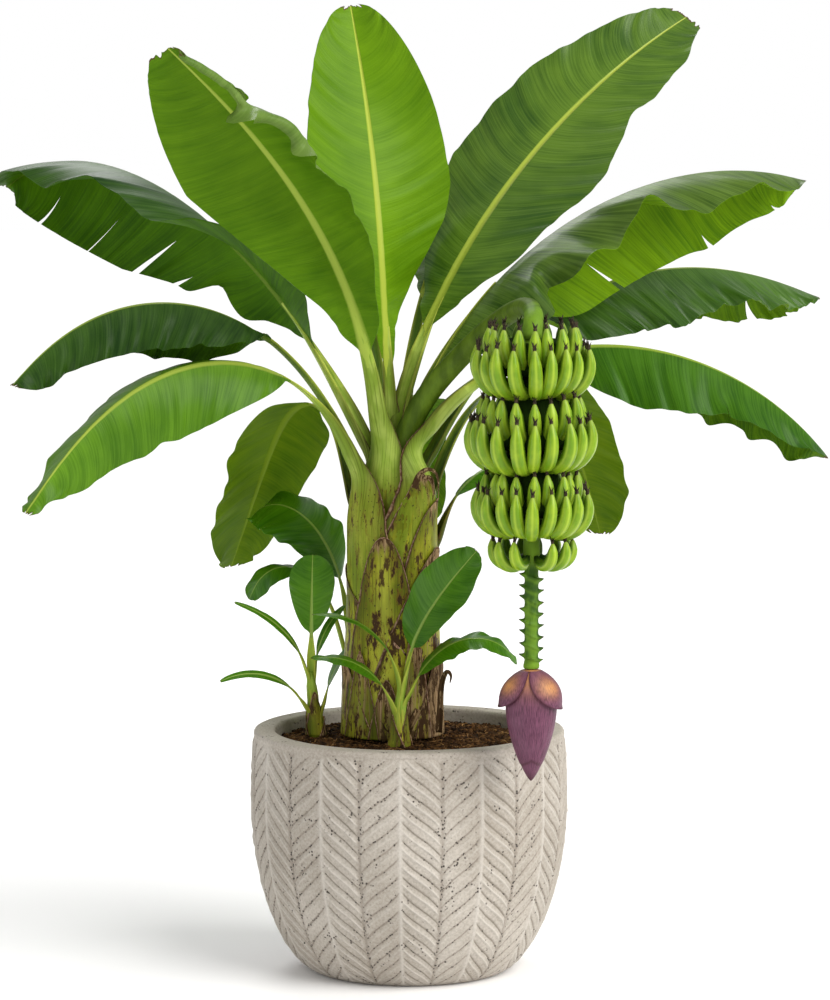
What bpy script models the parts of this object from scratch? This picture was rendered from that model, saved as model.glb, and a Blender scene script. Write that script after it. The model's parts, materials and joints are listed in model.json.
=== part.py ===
"""Potted banana plant: pot, soil, pseudostem, fronds, fruit bunch, flower bud and suckers.

Metres, +Z up, origin at the centre of the pot's flat underside, front towards -Y.
Compass angles are in degrees: 0 points to +X, 90 to the back (+Y), -90 to the front.
"""
import math
from collections import namedtuple

import bpy
from mathutils import Vector

# ---------------------------------------------------------------- driving dimensions
GAP = 0.0003                    # clearance between neighbouring pieces
SHARP_ANGLE = math.radians(50)  # edges sharper than this stay crisp

POT_HEIGHT = 0.490
POT_RIM_RADIUS = 0.314
POT_BELLY_RADIUS = 0.320
POT_BELLY_HEIGHT = 0.350
POT_FOOT_RADIUS = 0.190
POT_BOWL_POWER = 0.6            # fullness of the bowl under the belly
POT_WALL = 0.043
POT_FLOOR = 0.045
POT_HEEL = 0.065                # height at which the inside turns in to the floor
POT_HEEL_RUN = 0.020
POT_RIM_ROUND = 0.007
POT_SIDES = 36
POT_OUTER_LEVELS = (0.004, 0.020, 0.055, 0.105, 0.170, 0.250, POT_BELLY_HEIGHT)
POT_INNER_LEVELS = (POT_HEEL, 0.110, 0.200, POT_BELLY_HEIGHT)

SOIL_LEVEL = 0.475              # flat part that the stems stand on
SOIL_EDGE_LEVEL = 0.460
SOIL_FLAT_RADIUS = 0.215
SOIL_SIDES = 36

STEM_FLARE = 0.55               # share of a stem's height that tapers up from its foot
STEM_CROWN = 0.70               # radius left at a stem's top, over the radius under it
STALK_SIDES = 8
STALK_THICKNESS = 0.66          # depth of a leaf stalk over its width
STALK_TIP = 0.0095              # half-width of a stalk where its blade starts
STALK_TAPER = 1.4               # how early a stalk loses its width
FREE_CLEAR = 0.002              # room between two stalks from which both stand free
BLADE_THICKNESS = 0.011         # blade thickness over blade length
BLADE_EDGE = 0.55               # thickness at the margin over that at the rib
NARROW = 0.06                   # half-width under which a blade flattens towards its rib
RIB_LOSS = 0.85                 # share of the rib's depth lost on the way to the tip

BUNCH_X = 0.238
BUNCH_Y = -0.340
RACHIS_RADIUS = 0.0165
RACHIS_FOOT = 0.662
RACHIS_SIDES = 8
SCARS = 14                      # ridges left by fallen bracts under the last hand
SCARS_UNDER_HAND = 0.055
PEDUNCLE_RADIUS = 0.019
PEDUNCLE_CREST = 0.78           # share of the peduncle's length where it is highest
HUB_RADIUS = 0.030
HUB_SIDES = 16
FINGER_SIDES = 5

BUD_TOP = RACHIS_FOOT - GAP
BUD_TIP = 0.440
BUD_RADIUS = 0.050
BUD_SIDES = 14
BUD_RINGS = 10
BRACT_CLEAR = 0.0010
BRACT_THICKNESS = 0.0035
BRACT_START = 0.012             # drop from the bud's top to where a lifted bract is attached
BRACT_SPREAD = 62

# ---------------------------------------------------------------- stems
Stem = namedtuple("Stem", "x y foot_radius top_radius top lean_x sides")
STEMS = {
    "pseudostem": Stem(-0.034, 0.020, 0.097, 0.086, 1.000, 0.000, 20),
    "sucker_stem_left": Stem(-0.189, 0.035, 0.019, 0.010, 0.600, -0.012, 10),
    "sucker_stem_front": Stem(-0.019, -0.112, 0.021, 0.013, 0.580, 0.003, 10),
    "sucker_stem_back": Stem(-0.116, 0.142, 0.016, 0.011, 0.620, 0.002, 10),
}

# ---------------------------------------------------------------- fronds
# compass, turn: heading of the stalk, and how far it turns on the way to the tip
# rise, fall: elevation at the foot and at the tip; knee, sharp: where and how fast it changes
# foot: distance out from the stem's axis, and height; stalk, blade: lengths; half: half-width
# thick: half-width of the stalk at its foot; widest: where the blade is widest, 0 to 1
# ends: roundness of base and tip; roll: turn about the rib at base and tip
# left, right: fold of that half at base and tip, then its curl at base and tip
Frond = namedtuple("Frond", "stem compass turn rise fall knee sharp foot stalk blade half thick "
                            "widest ends roll left right")
MAIN = "pseudostem"
FRONDS = {
    "top": Frond(MAIN, 107, 3, 82, 62, 0.56, 1.4, (0.010, 1.100), 0.200, 0.690, 0.168, 0.019,
                 0.44, (1.2, 1.2), (-26, 14), (-5, 15, 15, 15), (-30, 25, 10, 10)),
    "upper_left": Frond(MAIN, -120, 1, 82, 27, 0.33, 1.3, (0.030, 1.000), 0.355, 0.880, 0.170,
                        0.031, 0.60, (1.2, 1.2), (-28, -26), (-15, -15, -20, -85),
                        (-45, -10, 0, 0)),
    "upper_right": Frond(MAIN, 38, 2, 77, 24, 0.37, 0.9, (0.010, 1.100), 0.280, 0.895, 0.168,
                         0.021, 0.36, (1.2, 1.2), (-4, -26), (-5, 25, 0, 0), (-10, -5, 0, 0)),
    "left": Frond(MAIN, 161, -19, 64, -38, 0.73, 1.0, (0.040, 1.040), 0.360, 0.805, 0.192, 0.026,
                  0.48, (1.2, 2.0), (-22, -30), (-5, -35, -15, -15), (-45, -75, -20, -20)),
    "left_middle": Frond(MAIN, -160, 2, 68, -49, 0.57, 1.3, (0.060, 0.990), 0.375, 0.585, 0.114,
                         0.022, 0.34, (2.0, 1.2), (-16, 14), (-35, -65, -20, -20),
                         (-65, -60, -20, -20)),
    "left_low": Frond(MAIN, -149, -2, 82, -54, 0.44, 1.4, (0.050, 0.880), 0.405, 0.675, 0.130,
                      0.028, 0.42, (1.8, 1.2), (12, 24), (-30, -65, -30, -30),
                      (-5, -30, -25, -25)),
    "left_hanging": Frond(MAIN, 137, -5, 74, -64, 0.43, 4.4, (0.080, 0.840), 0.355, 0.450, 0.112,
                          0.018, 0.38, (2.8, 2.6), (-12, 4), (-10, -15, 0, 0), (-25, -10, 0, 0)),
    "right": Frond(MAIN, 15, 0, 76, -18, 0.55, 0.9, (0.020, 1.050), 0.390, 0.725, 0.180, 0.026,
                   0.26, (3.0, 2.4), (22, 18), (-60, -55, -15, -15), (-20, -30, -20, -20)),
    "right_middle": Frond(MAIN, 29, 0, 62, -22, 0.49, 1.2, (0.060, 0.990), 0.440, 0.700, 0.134,
                          0.020, 0.36, (2.6, 2.0), (-16, 10), (-45, -60, -15, -15),
                          (-40, -30, -15, -15)),
    "right_low": Frond(MAIN, -4, 1, 83, -54, 0.39, 0.9, (0.020, 0.980), 0.440, 0.625, 0.134,
                       0.030, 0.34, (1.4, 1.2), (-10, 6), (-60, -50, -15, -15),
                       (-60, -25, -15, -15)),
    "right_hanging": Frond(MAIN, 50, 1, 65, -68, 0.49, 2.0, (0.070, 0.850), 0.420, 0.545, 0.104,
                           0.017, 0.50, (2.4, 2.8), (12, 0), (0, 0, 0, 0), (10, 0, 0, 0)),
    "back_left": Frond(MAIN, 110, 0, 80, -22, 0.52, 1.2, (0.035, 1.020), 0.400, 0.700, 0.125,
                       0.020, 0.42, (1.8, 1.6), (0, 0), (-20, -30, -15, -15),
                       (-20, -30, -15, -15)),
    "back_right": Frond(MAIN, 66, 0, 80, -15, 0.55, 1.2, (0.035, 1.020), 0.400, 0.700, 0.125,
                        0.020, 0.42, (1.8, 1.6), (0, 0), (-20, -30, -15, -15),
                        (-20, -30, -15, -15)),
    "back_hanging": Frond(MAIN, 84, 0, 68, -70, 0.48, 1.8, (0.075, 0.870), 0.360, 0.480, 0.105,
                          0.018, 0.45, (2.2, 2.0), (0, 0), (-10, -20, 0, 0), (-10, -20, 0, 0)),
}
LEFT, FRONT, BACK = "sucker_stem_left", "sucker_stem_front", "sucker_stem_back"
SMALL_LEAVES = {
    "stem_shoot_leaf": Frond(MAIN, 16, 0, 76, -22, 0.58, 1.7, (0.070, 0.790), 0.180, 0.270, 0.042,
                             0.009, 0.50, (2.2, 2.2), (0, 0), (-20, -20, 0, 0), (-55, -45, 0, 0)),
    "sucker_leaf_back_large": Frond(BACK, 158, -9, 86, -51, 0.78, 1.2, (0.000, 0.600), 0.180,
                                    0.290, 0.094, 0.009, 0.54, (1.8, 2.2), (-4, 10),
                                    (-15, -25, 0, 0), (0, 5, 0, 0)),
    "sucker_leaf_back_small": Frond(BACK, 179, 4, 79, -69, 0.71, 1.8, (0.005, 0.570), 0.240,
                                    0.155, 0.052, 0.007, 0.52, (2.2, 2.4), (2, 20),
                                    (-20, -15, 0, 0), (-15, 5, 0, 0)),
    "sucker_leaf_left_oval": Frond(LEFT, 85, 0, 90, 76, 0.50, 1.2, (0.000, 0.575), 0.105, 0.158,
                                   0.047, 0.006, 0.50, (2.0, 2.0), (0, 0), (5, 5, 0, 0),
                                   (5, 5, 0, 0)),
    "sucker_leaf_left_high": Frond(LEFT, -165, 0, 81, 19, 0.46, 1.1, (0.002, 0.570), 0.080, 0.170,
                                   0.014, 0.005, 0.50, (2.2, 2.2), (0, 0), (-30, -30, 0, 0),
                                   (-30, -30, 0, 0)),
    "sucker_leaf_left_low": Frond(LEFT, -155, 0, 76, -23, 0.50, 1.0, (0.004, 0.490), 0.105, 0.155,
                                  0.015, 0.005, 0.50, (2.2, 2.2), (0, 0), (-30, -30, 0, 0),
                                  (-30, -30, 0, 0)),
    "sucker_leaf_left_dark": Frond(LEFT, 40, 0, 90, 35, 0.54, 1.2, (0.004, 0.560), 0.080, 0.115,
                                   0.014, 0.004, 0.50, (2.2, 2.2), (0, 0), (0, 0, 0, 0),
                                   (0, 5, 0, 0)),
    "sucker_leaf_left_small": Frond(LEFT, 10, 1, 82, 55, 0.53, 1.3, (0.012, 0.500), 0.072, 0.085,
                                    0.028, 0.005, 0.50, (2.2, 2.2), (0, 0), (10, 10, 0, 0),
                                    (5, 5, 0, 0)),
    "sucker_leaf_front_oval": Frond(FRONT, -6, 1, 86, 49, 0.41, 1.5, (0.000, 0.540), 0.135, 0.235,
                                    0.062, 0.007, 0.50, (2.0, 1.8), (-50, -62), (15, 5, 0, 0),
                                    (20, 0, 0, 0)),
    "sucker_leaf_front_right": Frond(FRONT, -11, 2, 71, -64, 0.67, 1.2, (0.005, 0.545), 0.080,
                                     0.245, 0.040, 0.006, 0.46, (2.2, 2.0), (-20, 0),
                                     (0, -5, 0, 0), (-40, -25, 0, 0)),
    "sucker_leaf_front_high": Frond(FRONT, -167, -1, 90, -4, 0.52, 1.1, (0.000, 0.565), 0.105,
                                    0.180, 0.018, 0.006, 0.48, (2.2, 2.2), (12, 4),
                                    (-35, -25, 0, 0), (-15, -10, 0, 0)),
    "sucker_leaf_front_low": Frond(FRONT, -157, -1, 80, -4, 0.53, 1.2, (0.000, 0.500), 0.110,
                                   0.165, 0.032, 0.006, 0.48, (2.2, 2.2), (18, 2),
                                   (-30, -25, 0, 0), (5, -5, 0, 0)),
}
PEDUNCLE = Frond(MAIN, 7, -109, 79, -90, 0.80, 0.72, (0.015, 1.040), 0.697, 0.0, 0.0, 0.024,
                 0.5, (2, 2), (0, 0), (0, 0, 0, 0), (0, 0, 0, 0))
LIGHT_LEAVES = ("top", "upper_left", "left_low")

# ---------------------------------------------------------------- fruit
# level: height of the lower row's arc centre; arc: its radius; reach: outer radius of the hand
# finger: a finger's radius; lower, upper: fingers in each row; lift: upper row over the lower
Hand = namedtuple("Hand", "level arc reach finger lower upper lift")
HANDS = (
    Hand(1.261, 0.060, 0.125, 0.0135, 18, 16, 0.041),
    Hand(1.118, 0.060, 0.129, 0.0135, 18, 16, 0.046),
    Hand(0.984, 0.054, 0.121, 0.0130, 18, 16, 0.038),
    Hand(0.900, 0.033, 0.089, 0.0105, 11, 0, 0.000),
)
ARC_END = 18                    # degrees past level at which a finger's arc stops
PEDICEL_ROOT = 0.024            # distance from the bunch stalk's axis where a finger starts
UPPER_ROW_INSET = 0.016
UPPER_ROW_ARC = 0.92
# share of a finger's length, and its girth there over its full girth
FINGER_PROFILE = ((0.0, 0.30), (0.42, 0.95), (0.80, 0.85), (1.0, 0.18))

# ---------------------------------------------------------------- leaf sheaths on the pseudostem
# compass: middle; spread: half-angle; foot, apex: heights; point: how pointed the top is
Sheath = namedtuple("Sheath", "compass spread foot apex point")
SHEATHS = {
    "sheath_front": Sheath(-98, 34, 0.520, 0.885, 0.55),
    "sheath_right": Sheath(-42, 20, 0.680, 0.965, 0.45),
    "sheath_base_left": Sheath(-152, 20, 0.477, 0.640, 0.60),
    "sheath_base_right": Sheath(-18, 24, 0.477, 0.660, 0.60),
}
SHEATH_THICKNESS = 0.005
SHEATH_TIP = 0.04               # share of the spread left at the apex
# compass, length and outward flare of the two lifted bracts
BRACTS = {"bract_left": (180, 0.062, 0.016), "bract_right": (0, 0.066, 0.010)}
SHELL_COLUMNS = 6
SHELL_ROWS = 4

# ---------------------------------------------------------------- finishes
Finish = namedtuple("Finish", "colour roughness")
STONE = Finish((0.52, 0.48, 0.42), 0.85)
SOIL = Finish((0.07, 0.045, 0.03), 0.95)
SHEATH_GREEN = Finish((0.30, 0.36, 0.10), 0.50)
SHEATH_DRY = Finish((0.26, 0.18, 0.09), 0.80)
STALK = Finish((0.28, 0.40, 0.10), 0.42)
LEAF = Finish((0.07, 0.22, 0.03), 0.40)
LEAF_LIGHT = Finish((0.17, 0.36, 0.04), 0.40)
FRUIT = Finish((0.32, 0.55, 0.08), 0.38)
BUD = Finish((0.20, 0.05, 0.10), 0.45)


def clear_scene():
    for item in list(bpy.data.objects):
        bpy.data.objects.remove(item, do_unlink=True)


def add_object(name, points, faces, collection=None):
    mesh = bpy.data.meshes.new(name)
    mesh.from_pydata([tuple(point) for point in points], [], faces)
    made = bpy.data.objects.new(name, mesh)
    (collection or bpy.context.scene.collection).objects.link(made)
    return made


def dress(target, finish):
    """Give a piece its own Principled material and smooth shading."""
    made = bpy.data.materials.new(target.name)
    made.use_nodes = True
    shader = made.node_tree.nodes["Principled BSDF"]
    shader.inputs["Base Color"].default_value = (*finish.colour, 1.0)
    shader.inputs["Roughness"].default_value = finish.roughness
    shader.inputs["Metallic"].default_value = 0.0
    target.data.materials.clear()
    target.data.materials.append(made)
    target.data.shade_smooth()
    target.data.set_sharp_from_angle(angle=SHARP_ANGLE)


def circle_point(x, y, radius, angle, height):
    return Vector((x + radius * math.cos(angle), y + radius * math.sin(angle), height))


def loft(name, rings, collection=None):
    """Closed skin through rings of equal length, each ordered clockwise seen along the path."""
    count = len(rings[0])
    points = [point for ring in rings for point in ring]
    faces = []
    for row in range(len(rings) - 1):
        for column in range(count):
            near = row * count + column
            next_near = row * count + (column + 1) % count
            faces.append((near, next_near, next_near + count, near + count))
    faces.append(tuple(reversed(range(count))))
    faces.append(tuple(range(len(points) - count, len(points))))
    return add_object(name, points, faces, collection)


def revolve(name, profile, sides, x=0.0, y=0.0):
    """Solid of revolution; the profile runs from one point on the axis up to another."""
    points = [Vector((x, y, profile[0][1]))]
    turned = profile[1:-1]
    for radius, height in turned:
        for side in range(sides):
            points.append(circle_point(x, y, radius, 2 * math.pi * side / sides, height))
    points.append(Vector((x, y, profile[-1][1])))
    faces = []
    for side in range(sides):
        after = (side + 1) % sides
        faces.append((0, 1 + after, 1 + side))
        last = 1 + (len(turned) - 1) * sides
        faces.append((last + side, last + after, len(points) - 1))
        for row in range(len(turned) - 1):
            near = 1 + row * sides
            faces.append((near + side, near + after, near + sides + after, near + sides + side))
    return add_object(name, points, faces)


def ring_solid(name, inner, outer, low, high, sides, x, y):
    """Square-cut ring with a bore."""
    points = []
    for radius, height in ((inner, low), (outer, low), (outer, high), (inner, high)):
        for side in range(sides):
            points.append(circle_point(x, y, radius, 2 * math.pi * side / sides, height))
    faces = []
    for row in range(4):
        for side in range(sides):
            after = (side + 1) % sides
            near = row * sides
            far = (row + 1) % 4 * sides
            faces.append((near + side, near + after, far + after, far + side))
    return add_object(name, points, faces)


def shell(name, skins):
    """Thin closed shell from an inner and an outer grid of points, rows running upwards."""
    points = skins[0] + skins[1]
    offset = len(skins[0])
    wide = SHELL_COLUMNS + 1
    faces = []
    for row in range(SHELL_ROWS):
        for column in range(SHELL_COLUMNS):
            corner = row * wide + column
            quad = (corner, corner + 1, corner + 1 + wide, corner + wide)
            faces.append(tuple(reversed(quad)))
            faces.append(tuple(index + offset for index in quad))
    border = list(range(wide))
    border += [row * wide + SHELL_COLUMNS for row in range(1, SHELL_ROWS + 1)]
    border += [SHELL_ROWS * wide + column for column in range(SHELL_COLUMNS - 1, -1, -1)]
    border += [row * wide for row in range(SHELL_ROWS - 1, 0, -1)]
    for index, corner in enumerate(border):
        after = border[(index + 1) % len(border)]
        faces.append((corner, after, after + offset, corner + offset))
    return add_object(name, points, faces)


def unite(target, members):
    """Fuse the members of a scratch collection into the target and drop them."""
    modifier = target.modifiers.new("fuse", "BOOLEAN")
    modifier.operation = "UNION"
    modifier.operand_type = "COLLECTION"
    modifier.collection = members
    modifier.solver = "MANIFOLD"
    depsgraph = bpy.context.evaluated_depsgraph_get()
    fused = bpy.data.meshes.new_from_object(target.evaluated_get(depsgraph))
    target.modifiers.remove(modifier)
    target.data = fused
    for item in list(members.objects):
        bpy.data.objects.remove(item, do_unlink=True)
    bpy.data.collections.remove(members)


def scratch_collection(name):
    made = bpy.data.collections.new(name)
    bpy.context.scene.collection.children.link(made)
    return made


# ---------------------------------------------------------------- pot and soil
def pot_radius(height):
    """Outer radius of the pot: a rounded bowl under the belly, a slight taper over it."""
    if height >= POT_BELLY_HEIGHT:
        share = (height - POT_BELLY_HEIGHT) / (POT_HEIGHT - POT_BELLY_HEIGHT)
        return POT_BELLY_RADIUS - (POT_BELLY_RADIUS - POT_RIM_RADIUS) * share ** 2
    share = (POT_BELLY_HEIGHT - height) / POT_BELLY_HEIGHT
    swell = (1 - share ** 2) ** POT_BOWL_POWER
    return POT_FOOT_RADIUS + (POT_BELLY_RADIUS - POT_FOOT_RADIUS) * swell


def inner_radius(height):
    return pot_radius(height) - POT_WALL


def build_pot():
    """Turned pot: flat foot, bowl, straight rim and an open inside with its own floor."""
    shoulder = POT_HEIGHT - POT_RIM_ROUND
    inside_rim = POT_RIM_RADIUS - POT_WALL
    profile = [(0.0, 0.0), (POT_FOOT_RADIUS, 0.0)]
    profile += [(pot_radius(level), level) for level in POT_OUTER_LEVELS]
    profile += [(pot_radius(shoulder), shoulder), (POT_RIM_RADIUS - POT_RIM_ROUND, POT_HEIGHT)]
    profile += [(inside_rim + POT_RIM_ROUND, POT_HEIGHT), (inside_rim, shoulder)]
    profile += [(inner_radius(level), level) for level in reversed(POT_INNER_LEVELS)]
    profile += [(inner_radius(POT_HEEL) - POT_HEEL_RUN, POT_FLOOR), (0.0, POT_FLOOR)]
    dress(revolve("pot", profile, POT_SIDES), STONE)


def build_soil():
    """Filled block of soil that follows the inside of the pot."""
    clear = GAP + POT_RIM_RADIUS * (1 - math.cos(math.pi / POT_SIDES))
    profile = [(0.0, POT_FLOOR + GAP)]
    profile += [(inner_radius(POT_HEEL) - POT_HEEL_RUN - clear, POT_FLOOR + GAP)]
    profile += [(inner_radius(level) - clear, level) for level in POT_INNER_LEVELS]
    profile += [(inner_radius(SOIL_EDGE_LEVEL) - clear, SOIL_EDGE_LEVEL)]
    profile += [(SOIL_FLAT_RADIUS, SOIL_LEVEL), (0.0, SOIL_LEVEL)]
    dress(revolve("potting_soil", profile, SOIL_SIDES), SOIL)


# ---------------------------------------------------------------- paths of stalks and blades
def sag(share, knee, sharp):
    """Smooth step from 0 to 1 that is half done at the knee."""
    share = max(0.0, min(1.0, share))
    rise = share ** sharp
    rest = (knee / (1 - knee) * (1 - share)) ** sharp
    return rise / (rise + rest)


def blend(pair, share):
    return pair[0] + (pair[1] - pair[0]) * share


def stem_share(stem, height):
    return (height - SOIL_LEVEL) / (stem.top - SOIL_LEVEL)


def stem_axis(stem, height):
    """Point on a stem's leaning axis at a height."""
    return Vector((stem.x + stem.lean_x * stem_share(stem, height), stem.y, height))


def stem_radius(stem, height):
    """Radius of a stem, flared at its foot."""
    taper = min(1.0, stem_share(stem, height) / STEM_FLARE)
    return stem.foot_radius + (stem.top_radius - stem.foot_radius) * taper


class Spine:
    """Centre line of a frond, from its foot to its tip, with a frame at each point."""

    STEPS = 160

    def __init__(self, frond):
        self.frond = frond
        self.length = frond.stalk + frond.blade
        heading = math.radians(frond.compass)
        outward = Vector((math.cos(heading), math.sin(heading), 0.0))
        out, height = frond.foot
        place = stem_axis(STEMS[frond.stem], height) + outward * out
        step = self.length / self.STEPS
        self.points = [place]
        for index in range(self.STEPS):
            place = place + self.tangent((index + 0.5) / self.STEPS) * step
            self.points.append(place)

    def angles(self, share):
        """Elevation and heading, in radians."""
        frond = self.frond
        elevation = blend((frond.rise, frond.fall), sag(share, frond.knee, frond.sharp))
        return math.radians(elevation), math.radians(frond.compass + frond.turn * share)

    def tangent(self, share):
        elevation, heading = self.angles(share)
        flat = math.cos(elevation)
        return Vector((flat * math.cos(heading), flat * math.sin(heading), math.sin(elevation)))

    def point(self, distance):
        place = max(0.0, min(1.0, distance / self.length)) * self.STEPS
        low = min(int(place), self.STEPS - 1)
        return self.points[low].lerp(self.points[low + 1], place - low)

    def frame(self, distance):
        """Right and up vectors at a distance from the foot, rolled with the blade."""
        elevation, heading = self.angles(distance / self.length)
        side = Vector((math.sin(heading), -math.cos(heading), 0.0))
        up = Vector((-math.sin(elevation) * math.cos(heading),
                     -math.sin(elevation) * math.sin(heading), math.cos(elevation)))
        frond = self.frond
        share = (distance - frond.stalk) / frond.blade if frond.blade else 0.0
        roll = math.radians(blend(frond.roll, max(0.0, share)))
        if share <= 0:
            roll *= max(0.0, 1 + share * 3)
        turned_side = side * math.cos(roll) + up * math.sin(roll)
        turned_up = up * math.cos(roll) - side * math.sin(roll)
        return turned_side, turned_up

    def stalk_half(self, distance):
        """Half-width of the stalk, which narrows into the blade's rib."""
        frond = self.frond
        share = min(1.0, distance / frond.stalk)
        tip = min(STALK_TIP, 0.6 * frond.thick) if frond.blade else PEDUNCLE_RADIUS
        return tip + (frond.thick - tip) * (1 - share) ** STALK_TAPER


def stalk_ring(spine, distance, sides=STALK_SIDES):
    """Oval section of a stalk, ordered over the top from left to right and back below."""
    side, up = spine.frame(distance)
    half = spine.stalk_half(distance)
    depth = half * (STALK_THICKNESS if spine.frond.blade else 1.0)
    centre = spine.point(distance)
    ring = []
    for index in range(sides):
        angle = math.pi - (index + 0.5) * 2 * math.pi / sides
        ring.append(centre + side * half * math.cos(angle) + up * depth * math.sin(angle))
    return ring


def blade_half(frond, share):
    """Half-width of the blade outline."""
    if share < frond.widest:
        away, power = (frond.widest - share) / frond.widest, frond.ends[0]
    else:
        away, power = (share - frond.widest) / (1 - frond.widest), frond.ends[1]
    return frond.half * math.sqrt(max(0.0, 1 - away ** power))


def blade_point(frond, share, across):
    """Place across the blade, as offsets to the side and up, and the half's slope there."""
    half = blade_half(frond, share)
    bend = frond.right if across >= 0 else frond.left
    ease = min(1.0, half / NARROW)
    fold = math.radians(blend(bend[0:2], share)) * ease
    curl = math.radians(blend(bend[2:4], share)) * ease
    if abs(curl) < 0.001:
        curl = 0.001
    sign = 1 if across >= 0 else -1
    slope = fold + curl * abs(across)
    out = half * (math.sin(slope) - math.sin(fold)) / curl
    lift = half * (math.cos(fold) - math.cos(slope)) / curl
    return out * sign, lift, slope * sign


def blade_ring(spine, share, strips):
    """Section of a blade: upper skin from left to right, then the under skin with its rib."""
    frond = spine.frond
    distance = frond.stalk + frond.blade * share
    side, up = spine.frame(distance)
    centre = spine.point(distance)
    skin = BLADE_THICKNESS * frond.blade / 2
    rib = spine.stalk_half(frond.stalk) * STALK_THICKNESS * (1 - RIB_LOSS * share)
    upper, under = [], []
    for index in range(-strips, strips + 1):
        across = index / strips
        if index == 0:
            upper.append(centre + up * skin)
            under.append(centre - up * max(skin, rib))
            continue
        out, lift, slope = blade_point(frond, share, across)
        least = math.copysign(skin * 1.6 * abs(across), across)
        place = centre + side * (out + least) + up * lift
        away = up * math.cos(slope) - side * math.sin(slope)
        thin = skin * (BLADE_EDGE if abs(index) == strips else 1.0)
        upper.append(place + away * thin)
        under.append(place - away * thin)
    return upper + under[::-1]


def blade_rings(spine, first, count, strips):
    """Sections along a blade from a share of its length on, closer together at both ends."""
    rings = []
    for index in range(count + 1):
        share = 0.5 - 0.5 * math.cos(math.pi * index / count)
        rings.append(blade_ring(spine, first + (1 - first) * share, strips))
    return rings


def touches_stem(place, half, core):
    """True where a stalk of this half-width is still within the stem's foot radius."""
    if place.z - core.top >= half:
        return False
    return (place - stem_axis(core, place.z)).length < core.foot_radius + half


def touches_stalk(place, half, other):
    """True where a stalk of this half-width is close to another stalk."""
    for index in range(0, Spine.STEPS + 1, 2):
        along = index / Spine.STEPS * other.length
        if along > other.frond.stalk:
            return False
        if (other.points[index] - place).length < half + other.stalk_half(along) + FREE_CLEAR:
            return True
    return False


def frees_at(spine, others, core):
    """Distance from the foot from which a stalk is clear of its neighbours and of the stem."""
    step = 0.005
    distance = spine.frond.stalk + spine.frond.blade * 0.02
    while distance > step:
        place = spine.point(distance)
        half = spine.stalk_half(distance)
        if touches_stem(place, half, core) or any(touches_stalk(place, half, other)
                                                  for other in others):
            return distance
        distance -= step
    return step


# ---------------------------------------------------------------- stems, stalks and leaves
def build_stem(name, spines):
    """A stem with the feet of its stalks fused on, up to where each stands free."""
    stem = STEMS[name]
    foot = SOIL_LEVEL + GAP
    shares = [STEM_FLARE * step / 4 for step in range(5)] + [0.70, 0.86, 1.0]
    rings = []
    for share in shares:
        height = foot + (stem.top - foot) * share
        radius = stem_radius(stem, height) * (STEM_CROWN if share == 1.0 else 1.0)
        centre = stem_axis(stem, height)
        rings.append([circle_point(centre.x, centre.y, radius, 2 * math.pi * side / stem.sides,
                                   height) for side in range(stem.sides)])
    made = loft(name, rings)
    members = scratch_collection(name + "_feet")
    for key, spine in spines.items():
        pieces = max(2, round(spine.free / 0.06))
        feet = [stalk_ring(spine, spine.free * index / pieces) for index in range(pieces + 1)]
        loft(name + "_foot_" + key, feet, members)
    unite(made, members)
    dress(made, SHEATH_GREEN if name == MAIN else STALK)


def build_frond(key, spine):
    """Stalk and blade of a large leaf, as two pieces that meet at the blade's base."""
    frond = spine.frond
    start = spine.free + GAP
    if start < frond.stalk - 0.02:
        run = frond.stalk - start
        pieces = max(3, round(run / 0.055))
        rings = [stalk_ring(spine, start + run * index / pieces) for index in range(pieces + 1)]
        dress(loft("stalk_" + key, rings), STALK)
        start = frond.stalk + GAP
    first = max(0.0, (start - frond.stalk) / frond.blade)
    strips = 3 if min(frond.left[3], frond.right[3]) < -40 else 2
    blade = loft("leaf_" + key, blade_rings(spine, first, 10, strips))
    dress(blade, LEAF_LIGHT if key in LIGHT_LEAVES else LEAF)


def build_small_leaf(key, spine):
    """Stalk and blade of a small leaf in one piece."""
    frond = spine.frond
    start = spine.free + GAP
    run = frond.stalk - start
    strips = 2 if frond.half > 0.06 else 1
    sides = 4 * strips + 2
    rings = [stalk_ring(spine, start + run * index / 3, sides) for index in range(3)]
    rings += blade_rings(spine, 0.0, 8, strips)
    dress(loft(key, rings), LEAF)


def build_leaves(peduncle):
    large = {key: Spine(frond) for key, frond in FRONDS.items()}
    small = {key: Spine(frond) for key, frond in SMALL_LEAVES.items()}
    every = {**large, **small, "peduncle": peduncle}
    for name, stem in STEMS.items():
        mine = {key: spine for key, spine in every.items() if spine.frond.stem == name}
        for spine in mine.values():
            others = [other for other in mine.values() if other is not spine]
            spine.free = frees_at(spine, others, stem)
        build_stem(name, mine)
    for key, spine in large.items():
        build_frond(key, spine)
    for key, spine in small.items():
        build_small_leaf(key, spine)


def build_sheath(name, sheath):
    """Dry leaf base that wraps part of the pseudostem and ends in a point."""
    stem = STEMS[MAIN]
    sagitta = stem.foot_radius * (1 - math.cos(math.radians(sheath.spread / SHELL_COLUMNS)))
    skins = []
    for lift in (0.0, SHEATH_THICKNESS):
        skin = []
        for row in range(SHELL_ROWS + 1):
            share = row / SHELL_ROWS
            height = sheath.foot + (sheath.apex - sheath.foot) * share
            spread = sheath.spread * max(SHEATH_TIP, 1 - share ** 2.2) ** sheath.point
            radius = stem_radius(stem, height) + GAP + sagitta + lift
            for column in range(SHELL_COLUMNS + 1):
                angle = math.radians(sheath.compass + spread * (2 * column / SHELL_COLUMNS - 1))
                skin.append(circle_point(stem.x, stem.y, radius, angle, height))
        skins.append(skin)
    dress(shell(name, skins), SHEATH_DRY)


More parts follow.
